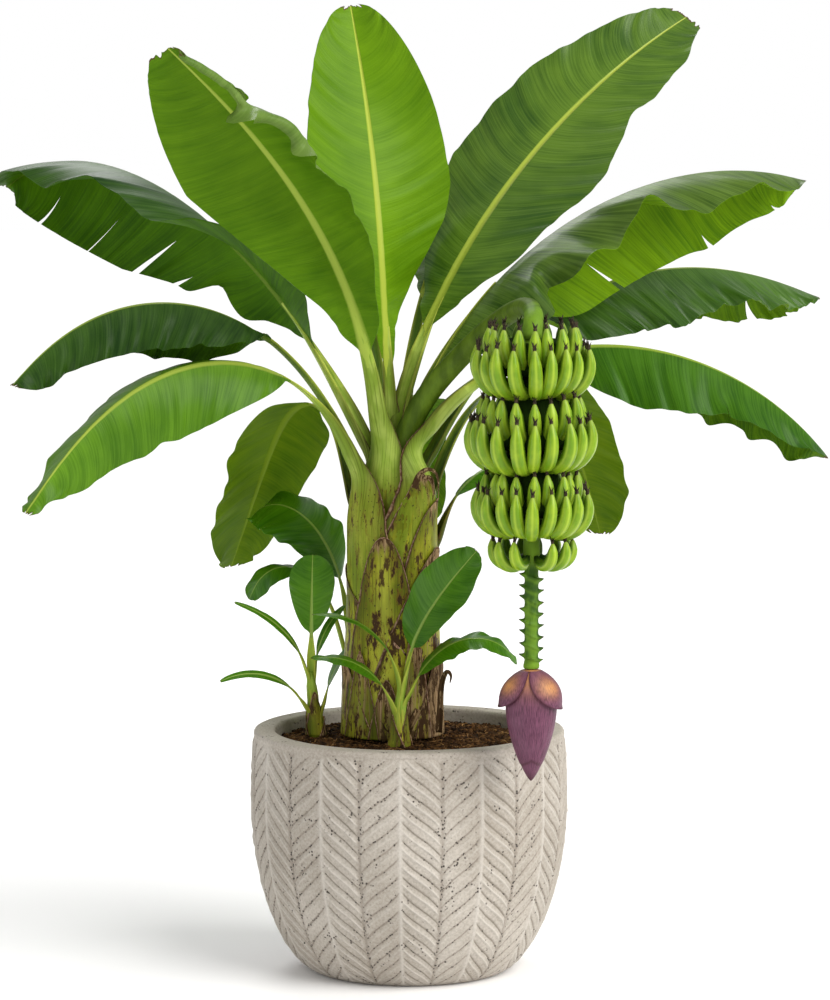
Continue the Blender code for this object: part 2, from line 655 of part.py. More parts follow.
# ---------------------------------------------------------------- fruit bunch
def finger_rings(hand, compass, upper):
    """A banana that leaves the hub low, swings out and turns up to its tip."""
    arc = hand.arc * (UPPER_ROW_ARC if upper else 1.0)
    reach = hand.reach - (UPPER_ROW_INSET if upper else 0.0)
    level = hand.level + (hand.lift if upper else 0.0)
    centre_out = reach - arc - hand.finger
    outward = Vector((math.cos(compass), math.sin(compass), 0.0))
    across = Vector((-math.sin(compass), math.cos(compass), 0.0))
    centre = Vector((BUNCH_X, BUNCH_Y, level)) + outward * centre_out
    start = -math.degrees(math.acos((PEDICEL_ROOT - centre_out) / arc))
    rings = []
    for share, girth in FINGER_PROFILE:
        swing = math.radians(start + (ARC_END - start) * share)
        radial = outward * math.cos(swing) + Vector((0.0, 0.0, math.sin(swing)))
        middle = centre + radial * arc
        ring = []
        for side in range(FINGER_SIDES):
            angle = 2 * math.pi * side / FINGER_SIDES
            spoke = radial * math.cos(angle) + across * math.sin(angle)
            ring.append(middle + spoke * hand.finger * girth)
        rings.append(ring)
    return rings


def build_hand(name, hand):
    """Two rows of fingers fused to a short collar round the bunch stalk."""
    low = hand.level - hand.arc * 1.02
    high = hand.level + hand.lift - hand.arc * 0.6
    bore = RACHIS_RADIUS / math.cos(math.pi / HUB_SIDES) + GAP
    made = ring_solid(name, bore, HUB_RADIUS, low, high, HUB_SIDES, BUNCH_X, BUNCH_Y)
    members = scratch_collection(name + "_fingers")
    for count, upper in ((hand.lower, False), (hand.upper, True)):
        for index in range(count):
            compass = 2 * math.pi * (index + (0.5 if upper else 0.0)) / count
            loft("finger", finger_rings(hand, compass, upper), members)
    unite(made, members)
    dress(made, FRUIT)


def build_peduncle(peduncle):
    """Stalk that rises out of the pseudostem and arches over to the bunch, split at its crest."""
    crest = peduncle.length * PEDUNCLE_CREST
    runs = (("bunch_stalk_rise", peduncle.free + GAP, crest - GAP, 6),
            ("bunch_stalk_arch", crest, peduncle.length, 5))
    for name, start, end, pieces in runs:
        rings = [stalk_ring(peduncle, start + (end - start) * index / pieces)
                 for index in range(pieces + 1)]
        dress(loft(name, rings), STALK)


def build_rachis(top):
    """Hanging stalk of the bunch, ridged with bract scars under the last hand."""
    scar_top = HANDS[-1].level - SCARS_UNDER_HAND
    pitch = (scar_top - RACHIS_FOOT) / SCARS
    profile = [(0.0, RACHIS_FOOT), (RACHIS_RADIUS * 0.85, RACHIS_FOOT)]
    for index in range(SCARS):
        height = RACHIS_FOOT + pitch * (index + 0.5)
        profile.append((RACHIS_RADIUS * 1.12, height))
        profile.append((RACHIS_RADIUS * 0.88, height + pitch * 0.5))
    profile += [(RACHIS_RADIUS, scar_top + 0.02), (RACHIS_RADIUS, top), (0.0, top)]
    dress(revolve("bunch_stalk", profile, RACHIS_SIDES, BUNCH_X, BUNCH_Y), STALK)


# ---------------------------------------------------------------- flower bud
def bud_radius(drop):
    """Radius of the bud at a drop below its top."""
    share = drop / (BUD_TOP - BUD_TIP)
    return BUD_RADIUS * math.sin(math.pi * share ** 0.62) ** 0.7


def build_bud():
    profile = [(0.0, BUD_TOP)]
    for index in range(1, BUD_RINGS + 1):
        drop = (BUD_TOP - BUD_TIP) * index / (BUD_RINGS + 1)
        profile.append((bud_radius(drop), BUD_TOP - drop))
    profile.append((0.0, BUD_TIP))
    dress(revolve("flower_bud", profile[::-1], BUD_SIDES, BUNCH_X, BUNCH_Y), BUD)


def build_bract(name, compass, length, flare):
    """Lifted bract: a pointed shell over the bud's shoulder with its tip turned out."""
    skins = []
    for lift in (0.0, BRACT_THICKNESS):
        skin = []
        for row in range(SHELL_ROWS, -1, -1):
            share = row / SHELL_ROWS
            spread = BRACT_SPREAD * (1 - share ** 1.8) ** 0.6 + 4
            for column in range(SHELL_COLUMNS + 1):
                across = 2 * column / SHELL_COLUMNS - 1
                angle = math.radians(compass + spread * across)
                drop = BRACT_START + length * share + 0.010 * across ** 2 * (1 - share)
                radius = bud_radius(drop) + BRACT_CLEAR + flare * share ** 1.5 + lift
                skin.append(circle_point(BUNCH_X, BUNCH_Y, radius, angle, BUD_TOP - drop))
        skins.append(skin)
    dress(shell(name, skins), BUD)


def main():
    clear_scene()
    build_pot()
    build_soil()
    peduncle = Spine(PEDUNCLE)
    build_leaves(peduncle)
    for name, sheath in SHEATHS.items():
        build_sheath(name, sheath)
    build_peduncle(peduncle)
    build_rachis(peduncle.point(peduncle.length).z - GAP)
    for number, hand in enumerate(HANDS, 1):
        build_hand("hand_%d" % number, hand)
    build_bud()
    for name, (compass, length, flare) in BRACTS.items():
        build_bract(name, compass, length, flare)


main()
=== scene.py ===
import json
import math
import random
from collections import namedtuple

import bmesh
import bpy
import numpy as np
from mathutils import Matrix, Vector, noise


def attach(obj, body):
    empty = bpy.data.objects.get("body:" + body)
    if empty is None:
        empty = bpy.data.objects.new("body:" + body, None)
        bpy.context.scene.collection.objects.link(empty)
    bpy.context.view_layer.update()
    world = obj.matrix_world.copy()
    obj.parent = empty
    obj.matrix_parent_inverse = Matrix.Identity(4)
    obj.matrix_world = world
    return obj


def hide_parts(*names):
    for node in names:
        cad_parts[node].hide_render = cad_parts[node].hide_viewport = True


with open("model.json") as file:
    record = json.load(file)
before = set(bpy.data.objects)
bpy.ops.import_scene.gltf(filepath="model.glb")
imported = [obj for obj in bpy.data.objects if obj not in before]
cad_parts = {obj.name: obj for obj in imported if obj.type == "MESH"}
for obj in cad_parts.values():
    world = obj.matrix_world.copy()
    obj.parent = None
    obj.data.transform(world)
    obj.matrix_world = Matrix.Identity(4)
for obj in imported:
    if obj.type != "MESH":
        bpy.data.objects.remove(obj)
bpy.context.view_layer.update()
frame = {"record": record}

SLOTS = {entry["node"]: entry["material_slot"] for entry in frame["record"]["subparts"]}


# ================================================================ mesh helpers
def settle(piece, slot, *nodes):
    """Make a finished mesh ride with the plant and stand for its solids; the slot is not used."""
    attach(piece, "root")
    if nodes:
        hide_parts(*nodes)
    return piece


def mesh_object(name, points, faces, materials, uvs=None, masks=None):
    """Smooth-shaded mesh with a UV and further masks at each point."""
    mesh = bpy.data.meshes.new(name)
    mesh.from_pydata(points, [], faces)
    for material in materials:
        mesh.materials.append(material)
    if uvs is not None:
        corners = np.empty(len(mesh.loops), dtype=np.int32)
        mesh.loops.foreach_get("vertex_index", corners)
        layer = mesh.uv_layers.new(name="surface")
        layer.data.foreach_set("uv", np.asarray(uvs, dtype=np.float32)[corners].ravel())
    for mask, values in (masks or {}).items():
        layer = mesh.attributes.new(mask, "FLOAT", "POINT")
        layer.data.foreach_set("value", np.asarray(values, dtype=np.float32).ravel())
    return placed(name, mesh)


def placed(name, mesh):
    """Object of a mesh, shaded smooth, in the scene."""
    mesh.shade_smooth()
    made = bpy.data.objects.new(name, mesh)
    bpy.context.scene.collection.objects.link(made)
    return made


def ring_faces(rows, columns):
    """Quads between rings of points, and a flat end on the first and the last ring."""
    index = np.arange(rows * columns).reshape(rows, columns)
    near, far = index[:-1], index[1:]
    quads = np.stack([near, np.roll(near, -1, 1), np.roll(far, -1, 1), far], -1).reshape(-1, 4)
    return quads.tolist() + [index[0][::-1].tolist(), index[-1].tolist()]


def ring_mesh(name, points, across, along, material, **masks):
    """Closed skin through rings: rows run along the piece, columns go once round it."""
    shape = points.shape[:2]
    uvs = np.stack([np.broadcast_to(across, shape), np.broadcast_to(along, shape)], -1)
    masks = {key: np.broadcast_to(values, shape) for key, values in masks.items()}
    return mesh_object(name, points.reshape(-1, 3).tolist(), ring_faces(*shape), [material],
                       uvs.reshape(-1, 2), masks)


def spokes(count):
    """A row of equal angles once round."""
    return np.linspace(0.0, 2 * math.pi, count, endpoint=False)[None, :]


def turned(side, up, angle):
    """A pair of crossed directions, turned in their own plane."""
    return side * np.cos(angle) + up * np.sin(angle), up * np.cos(angle) - side * np.sin(angle)


def unit(value):
    return np.clip(value, 0.0, 1.0)


def smoothstep(value):
    value = unit(value)
    return value * value * (3 - 2 * value)


def bell(offset, width):
    return np.exp(-(offset / width) ** 2)


def blend(pair, share):
    return pair[0] + (pair[1] - pair[0]) * share


# ================================================================ shader helpers
class Shader:
    """A material's node tree, with short calls for the nodes used here."""

    def __init__(self, name, roughness=0.5, **constants):
        self.material = bpy.data.materials.new(name)
        self.material.use_nodes = True
        self.tree = self.material.node_tree
        self.surface = self.tree.nodes["Principled BSDF"]
        self.surface.inputs["Roughness"].default_value = roughness
        for socket, value in constants.items():
            self.surface.inputs[socket.replace("_", " ")].default_value = value

    def node(self, kind, **settings):
        made = self.tree.nodes.new("ShaderNode" + kind)
        for key, value in settings.items():
            setattr(made, key, value)
        return made

    def plug(self, socket, value):
        if isinstance(value, (int, float)):
            socket.default_value = value
        elif isinstance(value, tuple):
            socket.default_value = (*value, 1.0) if len(socket.default_value) == 4 else value
        else:
            self.tree.links.new(value, socket)

    def math(self, operation, first, second=0.0, third=None, clamp=False):
        made = self.node("Math", operation=operation, use_clamp=clamp)
        self.plug(made.inputs[0], first)
        self.plug(made.inputs[1], second)
        if third is not None:
            self.plug(made.inputs[2], third)
        return made.outputs[0]

    def times(self, first, second):
        return self.math("MULTIPLY", first, second)

    def place(self, scale=(1.0, 1.0, 1.0)):
        """Object coordinates, stretched by a scale."""
        mapping = self.node("Mapping")
        self.plug(mapping.inputs["Vector"], self.node("TexCoord").outputs["Object"])
        mapping.inputs["Scale"].default_value = scale
        return mapping.outputs[0]

    def across_along(self):
        """The two numbers of the piece's own surface map."""
        split = self.node("SeparateXYZ")
        self.plug(split.inputs[0], self.node("UVMap", uv_map="surface").outputs[0])
        return split.outputs[0], split.outputs[1]

    def mask(self, name):
        return self.node("Attribute", attribute_name=name).outputs["Fac"]

    def noise(self, vector, scale, detail=3.0, roughness=0.55):
        made = self.node("TexNoise")
        self.plug(made.inputs["Vector"], vector)
        made.inputs["Scale"].default_value = scale
        made.inputs["Detail"].default_value = detail
        made.inputs["Roughness"].default_value = roughness
        return made.outputs["Fac"]

    def step(self, value, low, high, start=0.0, end=1.0):
        """Value mapped smoothly from low..high to start..end."""
        made = self.node("MapRange", interpolation_type="SMOOTHSTEP")
        for socket, number in zip(made.inputs[:5], (value, low, high, start, end)):
            self.plug(socket, number)
        return made.outputs[0]

    def mix(self, factor, first, second, mode="MIX"):
        made = self.node("Mix", data_type="RGBA", blend_type=mode)
        self.plug(made.inputs["Factor"], factor)
        self.plug(made.inputs[6], first)
        self.plug(made.inputs[7], second)
        return made.outputs[2]

    def sway(self, base, value, amount):
        """Base moved up and down by a value that lies round a half."""
        return self.math("MULTIPLY_ADD", self.math("SUBTRACT", value, 0.5), amount, base)

    def tint(self, tone, colour, factor, strength):
        """Tone mixed towards a colour by a factor of a given strength."""
        return self.mix(self.times(factor, strength), tone, colour)

    def streaks(self, across, along, dense, sparse, detail=3.0, roughness=0.6):
        """Noise that is dense across a piece and drawn out along it."""
        lines = self.node("CombineXYZ")
        self.plug(lines.inputs[0], self.times(across, dense))
        self.plug(lines.inputs[1], self.times(along, sparse))
        return self.noise(lines.outputs[0], 1.0, detail, roughness)

    def group(self, tree, **values):
        made = self.node("Group", node_tree=tree)
        for key, value in values.items():
            self.plug(made.inputs[key.replace("_", " ")], value)
        return made.outputs

    def finish(self, colour, roughness, height, depth, distance):
        """The material with its colour, a roughness if it varies, and bumps of a depth."""
        self.plug(self.surface.inputs["Base Color"], colour)
        if roughness is not None:
            self.plug(self.surface.inputs["Roughness"], roughness)
        bump = self.node("Bump")
        bump.inputs["Strength"].default_value = depth
        bump.inputs["Distance"].default_value = distance
        self.plug(bump.inputs["Height"], height)
        self.plug(self.surface.inputs["Normal"], bump.outputs[0])
        return self.material


class Group(Shader):
    """A shader node group with named inputs and outputs, built like a material."""

    def __init__(self, name, inputs, outputs):
        self.tree = bpy.data.node_groups.new(name, "ShaderNodeTree")
        for key, value in inputs.items():
            kind = "NodeSocketColor" if isinstance(value, tuple) else "NodeSocketFloat"
            socket = self.tree.interface.new_socket(key, in_out="INPUT", socket_type=kind)
            socket.default_value = (*value, 1.0) if isinstance(value, tuple) else value
        for key, kind in outputs.items():
            self.tree.interface.new_socket(key, in_out="OUTPUT", socket_type="NodeSocket" + kind)
        self.given = self.tree.nodes.new("NodeGroupInput").outputs
        self.result = self.tree.nodes.new("NodeGroupOutput").inputs

    def finish(self, **values):
        for key, value in values.items():
            self.plug(self.result[key], value)
        return self.tree


# ================================================================ camera, light and floor
def aim(made, place, target):
    """Put a new camera or light into the scene, turned to a target."""
    made.location = place
    made.rotation_euler = (Vector(target) - Vector(place)).to_track_quat("-Z", "Y").to_euler()
    bpy.context.scene.collection.objects.link(made)


def set_camera():
    data = bpy.data.cameras.new("camera")
    data.lens = 162.0
    data.sensor_fit = "VERTICAL"
    data.sensor_height = 36.0
    made = bpy.data.objects.new("camera", data)
    aim(made, (0.0119, -9.0, 1.9412), (0.0119, 0.0, 0.9535))
    bpy.context.scene.camera = made


def add_light(name, kind, place, power, colour=(1.0, 1.0, 1.0), **settings):
    data = bpy.data.lights.new(name, kind)
    data.energy = power
    data.color = colour
    for key, value in settings.items():
        setattr(data, key, value)
    aim(bpy.data.objects.new(name, data), place, (0.0, 0.0, 0.9))


def set_light():
    """Large soft key from the right, weak fills, and a white surround seen by the camera."""
    add_light("key_right", "SUN", (5.0, -3.4, 5.6), 3.05, (1.0, 0.985, 0.96),
              angle=math.radians(52.0))
    add_light("fill_left", "AREA", (-5.0, -5.0, 2.2), 60.0, shape="DISK", size=4.0)
    add_light("back_glow", "AREA", (-1.0, 5.0, 5.0), 120.0, shape="DISK", size=3.0)
    world = bpy.data.worlds.new("studio")
    world.use_nodes = True
    tree = world.node_tree
    backdrop = tree.nodes["Background"]
    backdrop.inputs["Color"].default_value = (1.0, 1.0, 1.0, 1.0)
    ray = tree.nodes.new("ShaderNodeLightPath")
    strength = tree.nodes.new("ShaderNodeMapRange")
    strength.inputs["To Min"].default_value = 0.52
    strength.inputs["To Max"].default_value = 1.0
    tree.links.new(ray.outputs["Is Camera Ray"], strength.inputs["Value"])
    tree.links.new(strength.outputs["Result"], backdrop.inputs["Strength"])
    bpy.context.scene.world = world
    bpy.context.scene.view_settings.view_transform = "Standard"


def build_floor():
    """Wide pale floor that the pot stands on."""
    shader = Shader("floor_paint", 0.9)
    tone = shader.noise(shader.place(), 2.0)
    shader.plug(shader.surface.inputs["Base Color"],
                shader.mix(tone, (0.97, 0.97, 0.97), (1.0, 1.0, 1.0)))
    half = 30.0
    corners = [(-half, -half, 0.0), (half, -half, 0.0), (half, half, 0.0), (-half, half, 0.0)]
    mesh_object("floor", corners, [(0, 1, 2, 3)], [shader.material])


# ================================================================ pot
POT_HEIGHT = 0.490
POT_RIM_RADIUS = 0.314
POT_BELLY_RADIUS = 0.320
POT_BELLY_HEIGHT = 0.350
POT_FOOT_RADIUS = 0.190
POT_BOWL_POWER = 0.6
POT_WALL = 0.043
LIP_HEIGHT = 0.013              # plain lip over the carved wall
LIP_PROUD = 0.0022              # how far the lip stands out from the carving
LIP_RUN = 0.020                 # length of wall over which it does
CARVING_SINK = 0.0012           # how far the carving's middle lies under the wall's outline
CARVING_CALM = (0.012, 0.020)   # plain wall under the lip and over the foot
PANELS = 24
PANEL_TURN = math.radians(-93.1)    # direction of one raised seam between two panels
PANEL_COLUMNS = (0.0, 0.035, 0.08, 0.16, 0.30, 0.48, 0.66, 0.80, 0.90, 0.955)
STRIP_PITCH = 0.0362            # height of one herringbone strip along the wall
STRIP_ROWS = (0.0, 0.06, 0.12, 0.19, 0.30, 0.42, 0.50, 0.56, 0.62, 0.69, 0.80, 0.90, 0.95)
STRIP_DROP = 2.05               # strips that one line falls across a panel


def pot_radius(height):
    """Outer radius of the pot: a rounded bowl under the belly, a slight taper over it."""
    if height >= POT_BELLY_HEIGHT:
        share = (height - POT_BELLY_HEIGHT) / (POT_HEIGHT - POT_BELLY_HEIGHT)
        return POT_BELLY_RADIUS - (POT_BELLY_RADIUS - POT_RIM_RADIUS) * share ** 2
    share = (POT_BELLY_HEIGHT - height) / POT_BELLY_HEIGHT
    swell = (1 - share ** 2) ** POT_BOWL_POWER
    return POT_FOOT_RADIUS + (POT_BELLY_RADIUS - POT_FOOT_RADIUS) * swell


def wall_table():
    """Arc length, radius and height along the outer wall, from the foot up to the lip."""
    heights = (POT_HEIGHT - LIP_HEIGHT) * np.linspace(0.0, 1.0, 400) ** 1.6
    radii = np.array([pot_radius(height) for height in heights])
    steps = np.hypot(np.diff(radii), np.diff(heights))
    return np.concatenate([[0.0], np.cumsum(steps)]), radii, heights


def peak(value, centre, width):
    """Narrow bell around a place on the repeating strip."""
    away = (value - centre + 0.5) % 1.0 - 0.5
    return math.exp(-(away / width) ** 2)


def carve(phase, across, raised, wobble):
    """Relief of a strip in metres, how deep in a groove the place is, 0 to 1, and how much painted
    highlight it takes on a ridge or raised seam.
    """
    calm = smoothstep(min(across, 1 - across) / 0.10)
    groove = peak(phase + 0.05 * wobble, 0.0, 0.060) * calm
    ridge = peak(phase, 0.56 + 0.04 * math.sin(across * math.pi) + 0.05 * wobble, 0.070) * calm
    seam = math.exp(-((across if across < 0.5 else 1 - across) / 0.05) ** 2)
    valley = seam if (across > 0.5) == raised else 0.0
    crest = seam - valley
    depth = 0.0027 if raised else 0.0017 * max(0.2, 1 + 1.4 * wobble)
    lift = 0.0026 * max(0.1, 1 + wobble) if raised else 0.0008 * max(0.0, 1 + 2 * wobble)
    tilt = 0.0010 * (0.5 - phase) * calm
    relief = lift * ridge - depth * groove + tilt + 0.0005 * wobble
    relief += 0.0016 * crest - 0.0020 * valley
    # painted highlight on the ridges and the raised seams
    worn = ridge * min(1.0, lift / 0.0026) + 0.8 * crest
    return relief, min(1.0, groove + 0.7 * valley), min(1.0, worn)


def build_pot():
    """Cast pot: herringbone panels that turn at raised seams, a plain lip and an open inside."""
    arcs, radii, heights = wall_table()
    low, high = 0.004, arcs[-1]
    pitches = int(high / STRIP_PITCH) + int(STRIP_DROP) + 3
    phases = [pitch + row for pitch in range(-1, pitches) for row in STRIP_ROWS]
    points, masks, columns = [], {"groove": [], "worn": [], "pitted": []}, []

    def put(radius, angle, height, groove=0.0, worn=0.0, pitted=0.3):
        points.append((radius * math.cos(angle), radius * math.sin(angle), height))
        masks["groove"].append(groove)
        masks["worn"].append(worn)
        masks["pitted"].append(pitted)
        return len(points) - 1

    for panel in range(PANELS):
        raised = panel % 2 == 0
        for across in PANEL_COLUMNS:
            angle = PANEL_TURN + (panel + across) * 2 * math.pi / PANELS
            run = across + 0.035 * math.sin(across * 2 * math.pi)
            drop = STRIP_DROP * (run if raised else 1 - run)
            column, last = [], None
            for phase in phases:
                arc = min(high, max(low, (phase - drop) * STRIP_PITCH))
                if last is not None and arc == last:
                    column.append(column[-1])
                    continue
                last = arc
                radius = np.interp(arc, arcs, radii)
                height = np.interp(arc, arcs, heights)
                wobble = 0.8 * noise.noise(Vector((panel * 3.1 + across * 3.0, arc * 26.0, panel)))
                wobble += 0.35 * noise.noise(Vector((panel * 9.1 + across * 9.0, arc * 90.0, 3.0)))
                relief, groove, worn = carve(phase % 1.0, across, raised, wobble)
                fade = smoothstep((high - arc) / CARVING_CALM[0])
                fade *= smoothstep((arc - low) / CARVING_CALM[1])
                radius += (relief - CARVING_SINK) * fade
                radius -= LIP_PROUD * smoothstep((arc - high + LIP_RUN) / LIP_RUN)
                column.append(put(radius, angle, height, groove * fade, worn * fade,
                                  0.25 if raised else 1.0))
            columns.append((angle, column))
    lip = POT_HEIGHT - LIP_HEIGHT
    inside = POT_RIM_RADIUS - POT_WALL
    rim = [(POT_RIM_RADIUS - 0.0004, lip + 0.0012), (POT_RIM_RADIUS + 0.0002, lip + 0.0035),
           (POT_RIM_RADIUS, lip + 0.0075), (POT_RIM_RADIUS - 0.0018, lip + 0.0108),
           (POT_RIM_RADIUS - 0.0055, POT_HEIGHT - 0.0004), (POT_RIM_RADIUS - 0.009, POT_HEIGHT),
           (inside + 0.007, POT_HEIGHT), (inside + 0.003, POT_HEIGHT - 0.0008),
           (inside + 0.0006, POT_HEIGHT - 0.004), (inside, POT_HEIGHT - 0.010),
           (inside + 0.004, 0.440), (inside + 0.006, 0.350), (0.250, 0.200), (0.190, 0.070),
           (0.160, 0.045)]
    rings = []
    for radius, height in rim:
        rings.append([put(radius, angle, height, 0.06) for angle, _ in columns])
    centre_top = put(0.0, 0.0, 0.045)
    foot = [put(POT_FOOT_RADIUS - 0.004, angle, 0.0) for angle, _ in columns]
    centre_low = put(0.0, 0.0, 0.0)
    faces = []
    for side in range(len(columns)):
        after = (side + 1) % len(columns)
        here, there = columns[side][1], columns[after][1]
        for row in range(len(phases) - 1):
            corners = []
            for corner in (here[row], there[row], there[row + 1], here[row + 1]):
                if corner not in corners:
                    corners.append(corner)
            if len(corners) > 2:
                faces.append(corners)
        for ring_low, ring_high in zip([[c[1][-1] for c in columns]] + rings[:-1], rings):
            faces.append((ring_low[side], ring_low[after], ring_high[after], ring_high[side]))
        faces.append((rings[-1][side], rings[-1][after], centre_top))
        faces.append((foot[side], foot[after], there[0], here[0]))
        faces.append((foot[after], foot[side], centre_low))
    made = mesh_object("pot_body", points, faces, [stone_material()], masks=masks)
    settle(made, SLOTS["pot"], "pot")


def stone_material():
    """Pale cast stone: cloudy, gritty, pitted along the carved lines, with painted shade in the grooves and
    painted highlights on the ridges.
    """
    shader = Shader("cast_stone", 0.88)
    cloud = shader.noise(shader.place(), 5.0, 5.0)
    grit = shader.noise(shader.place(), 190.0, 4.0, 0.7)
    tone = shader.mix(shader.step(cloud, 0.35, 0.68), (0.415, 0.370, 0.315), (0.535, 0.488, 0.430))
    shaded = shader.mix(1.0, tone, (0.74, 0.73, 0.71), "MULTIPLY")
    tone = shader.mix(shader.step(grit, 0.30, 0.66), shaded, tone)
    # painted shade in the grooves and seam valleys, and faintly on the rim
    tone = shader.tint(tone, (0.165, 0.130, 0.098), shader.mask("groove"), 0.62)
    # painted highlight on the ridges, in a pale stone tone
    tone = shader.tint(tone, (0.68, 0.64, 0.585), shader.mask("worn"), 0.55)
    cells = shader.node("TexVoronoi", feature="F1")
    shader.plug(cells.inputs["Vector"], shader.place())
    cells.inputs["Scale"].default_value = 150.0
    spots = shader.noise(shader.place(), 42.0, 3.0, 0.6)
    line = shader.times(shader.mask("groove"), shader.mask("pitted"))
    allow = shader.math("MULTIPLY_ADD", line, 0.50, spots)
    near = shader.step(cells.outputs["Distance"], 0.42, 0.22)
    pits = shader.times(near, shader.step(allow, 0.58, 0.66))
    # painted shade in the pits: the holes are painted near black
    tone = shader.mix(pits, tone, (0.055, 0.045, 0.038))
    relief = shader.math("MULTIPLY_ADD", pits, -1.6, grit)
    relief = shader.math("MULTIPLY_ADD", cloud, 0.6, relief)
    return shader.finish(tone, None, relief, 0.45, 0.0016)


# ================================================================ soil
SOIL_LEVEL = 0.475
SOIL_EDGE_RADIUS = 0.268
CRUMBS, FIBRES = 13000.0, 5200.0    # strewn on a square metre


def soil_material(name, dark, pale):
    shader = Shader(name, 0.95, Specular_IOR_Level=0.1)
    coarse = shader.noise(shader.place(), 60.0, 4.0, 0.65)
    patch = shader.noise(shader.place(), 16.0, 2.0)
    tone = shader.mix(shader.step(coarse, 0.38, 0.70), dark, pale)
    damp = shader.mix(1.0, tone, (0.45, 0.42, 0.40), "MULTIPLY")
    tone = shader.mix(shader.step(patch, 0.35, 0.65), tone, damp)
    return shader.finish(tone, None, coarse, 0.5, 0.002)


def soil_height(x, y):
    """Height of the lumpy soil surface, a little lower along the pot's wall."""
    out = math.hypot(x, y) / SOIL_EDGE_RADIUS
    lumps = 0.006 * noise.noise(Vector((x * 34, y * 34, 1.7)))
    lumps += 0.003 * noise.noise(Vector((x * 95, y * 95, 4.1)))
    return SOIL_LEVEL - 0.004 - 0.012 * out ** 3 + lumps


def build_soil():
    """Soil surface as a fine lumpy disc over a plain block, then crumbs and fibres on it."""
    rings, sides = 60, 150
    points = [(0.0, 0.0, soil_height(0.0, 0.0))]
    for ring in range(1, rings + 1):
        radius = SOIL_EDGE_RADIUS * ring / rings
        for side in range(sides):
            angle = 2 * math.pi * side / sides
            x, y = radius * math.cos(angle), radius * math.sin(angle)
            points.append((x, y, soil_height(x, y)))
    for radius, height in ((0.262, 0.40), (0.20, 0.10), (0.16, 0.05)):
        points += [(radius * math.cos(2 * math.pi * side / sides),
                    radius * math.sin(2 * math.pi * side / sides), height) for side in range(sides)]
    points.append((0.0, 0.0, 0.05))
    faces = []
    for side in range(sides):
        after = (side + 1) % sides
        faces.append((0, 1 + side, 1 + after))
        for ring in range(rings + 2):
            low = 1 + ring * sides
            faces.append((low + side, low + sides + side, low + sides + after, low + after))
        last = 1 + (rings + 2) * sides
        faces.append((last + side, len(points) - 1, last + after))
    dark, pale = (0.018, 0.009, 0.004), (0.120, 0.055, 0.016)
    bed = mesh_object("soil_bed", points, faces, [soil_material("soil_dark", dark, pale)])
    crumbly = soil_material("soil_crumb", (0.026, 0.013, 0.006), (0.135, 0.062, 0.018))
    fibrous = soil_material("soil_fibre", (0.08, 0.036, 0.012), (0.40, 0.225, 0.085))
    scatter("soil_crumbs", bed, crumb_mesh(), crumbly, CRUMBS, (0.5, 1.5), 3, math.pi)
    scatter("soil_fibres", bed, fibre_mesh(), fibrous, FIBRES, (0.6, 1.5), 8, 0.35)
    settle(bed, SLOTS["potting_soil"], "potting_soil")


def crumb_mesh():
    made = bmesh.new()
    bmesh.ops.create_icosphere(made, subdivisions=1, radius=0.0042)
    for corner in made.verts:
        corner.co *= 1 + 0.55 * noise.noise(corner.co * 300)
        corner.co.z *= 0.7
    mesh = bpy.data.meshes.new("crumb")
    made.to_mesh(mesh)
    made.free()
    return mesh


def fibre_mesh():
    """Short bent shred of bark, three-sided and pointed at both ends."""
    length, width, rings = 0.020, 0.0011, 5
    points = []
    for ring in range(rings):
        share = ring / (rings - 1)
        thick = width * (0.25 + math.sin(math.pi * share))
        for side in range(3):
            angle = 2 * math.pi * side / 3
            points.append((length * (share - 0.5), thick * math.cos(angle) + 0.0035 * share ** 2,
                           thick * 0.6 * math.sin(angle) + 0.0030 * math.sin(math.pi * share)))
    faces = [(0, 1, 2), tuple(range(len(points) - 1, len(points) - 4, -1))]
    for ring in range(rings - 1):
        for side in range(3):
            near, after = ring * 3 + side, ring * 3 + (side + 1) % 3
            faces.append((near, near + 3, after + 3, after))
    mesh = bpy.data.meshes.new("fibre")
    mesh.from_pydata(points, [], faces)
    return mesh


# ================================================================ geometry node helpers
class GeometryTree:
    """A geometry node tree with named inputs, and short calls for its nodes."""

    def __init__(self, name, inputs):
        self.tree = bpy.data.node_groups.new(name, "GeometryNodeTree")
        face = self.tree.interface
        face.new_socket("Geometry", in_out="INPUT", socket_type="NodeSocketGeometry")
        face.new_socket("Geometry", in_out="OUTPUT", socket_type="NodeSocketGeometry")
        for key, kind in inputs.items():
            face.new_socket(key, in_out="INPUT", socket_type="NodeSocket" + kind)
        self.given = self.tree.nodes.new("NodeGroupInput").outputs
        self.result = self.tree.nodes.new("NodeGroupOutput").inputs["Geometry"]

    def node(self, kind, settings=None, **plugs):
        made = self.tree.nodes.new(kind)
        for key, value in (settings or {}).items():
            setattr(made, key, value)
        for key, value in plugs.items():
            name = key.replace("_", " ")
            socket = next(item for item in made.inputs if item.name == name and item.enabled)
            if isinstance(value, bpy.types.NodeSocket):
                self.tree.links.new(value, socket)
            else:
                socket.default_value = value
        return made.outputs

    def value(self, node, kind, **plugs):
        """The one live output of a node that gives values of a kind."""
        outputs = self.node(node, {"data_type": kind}, **plugs)
        return next(item for item in outputs if item.enabled)

    def finish(self, instances, material):
        """Realize the instances and give them their material."""
        real = self.node("GeometryNodeRealizeInstances", Geometry=instances)
        done = self.node("GeometryNodeSetMaterial", Geometry=real[0], Material=material)
        self.tree.links.new(done[0], self.result)
        return self.tree


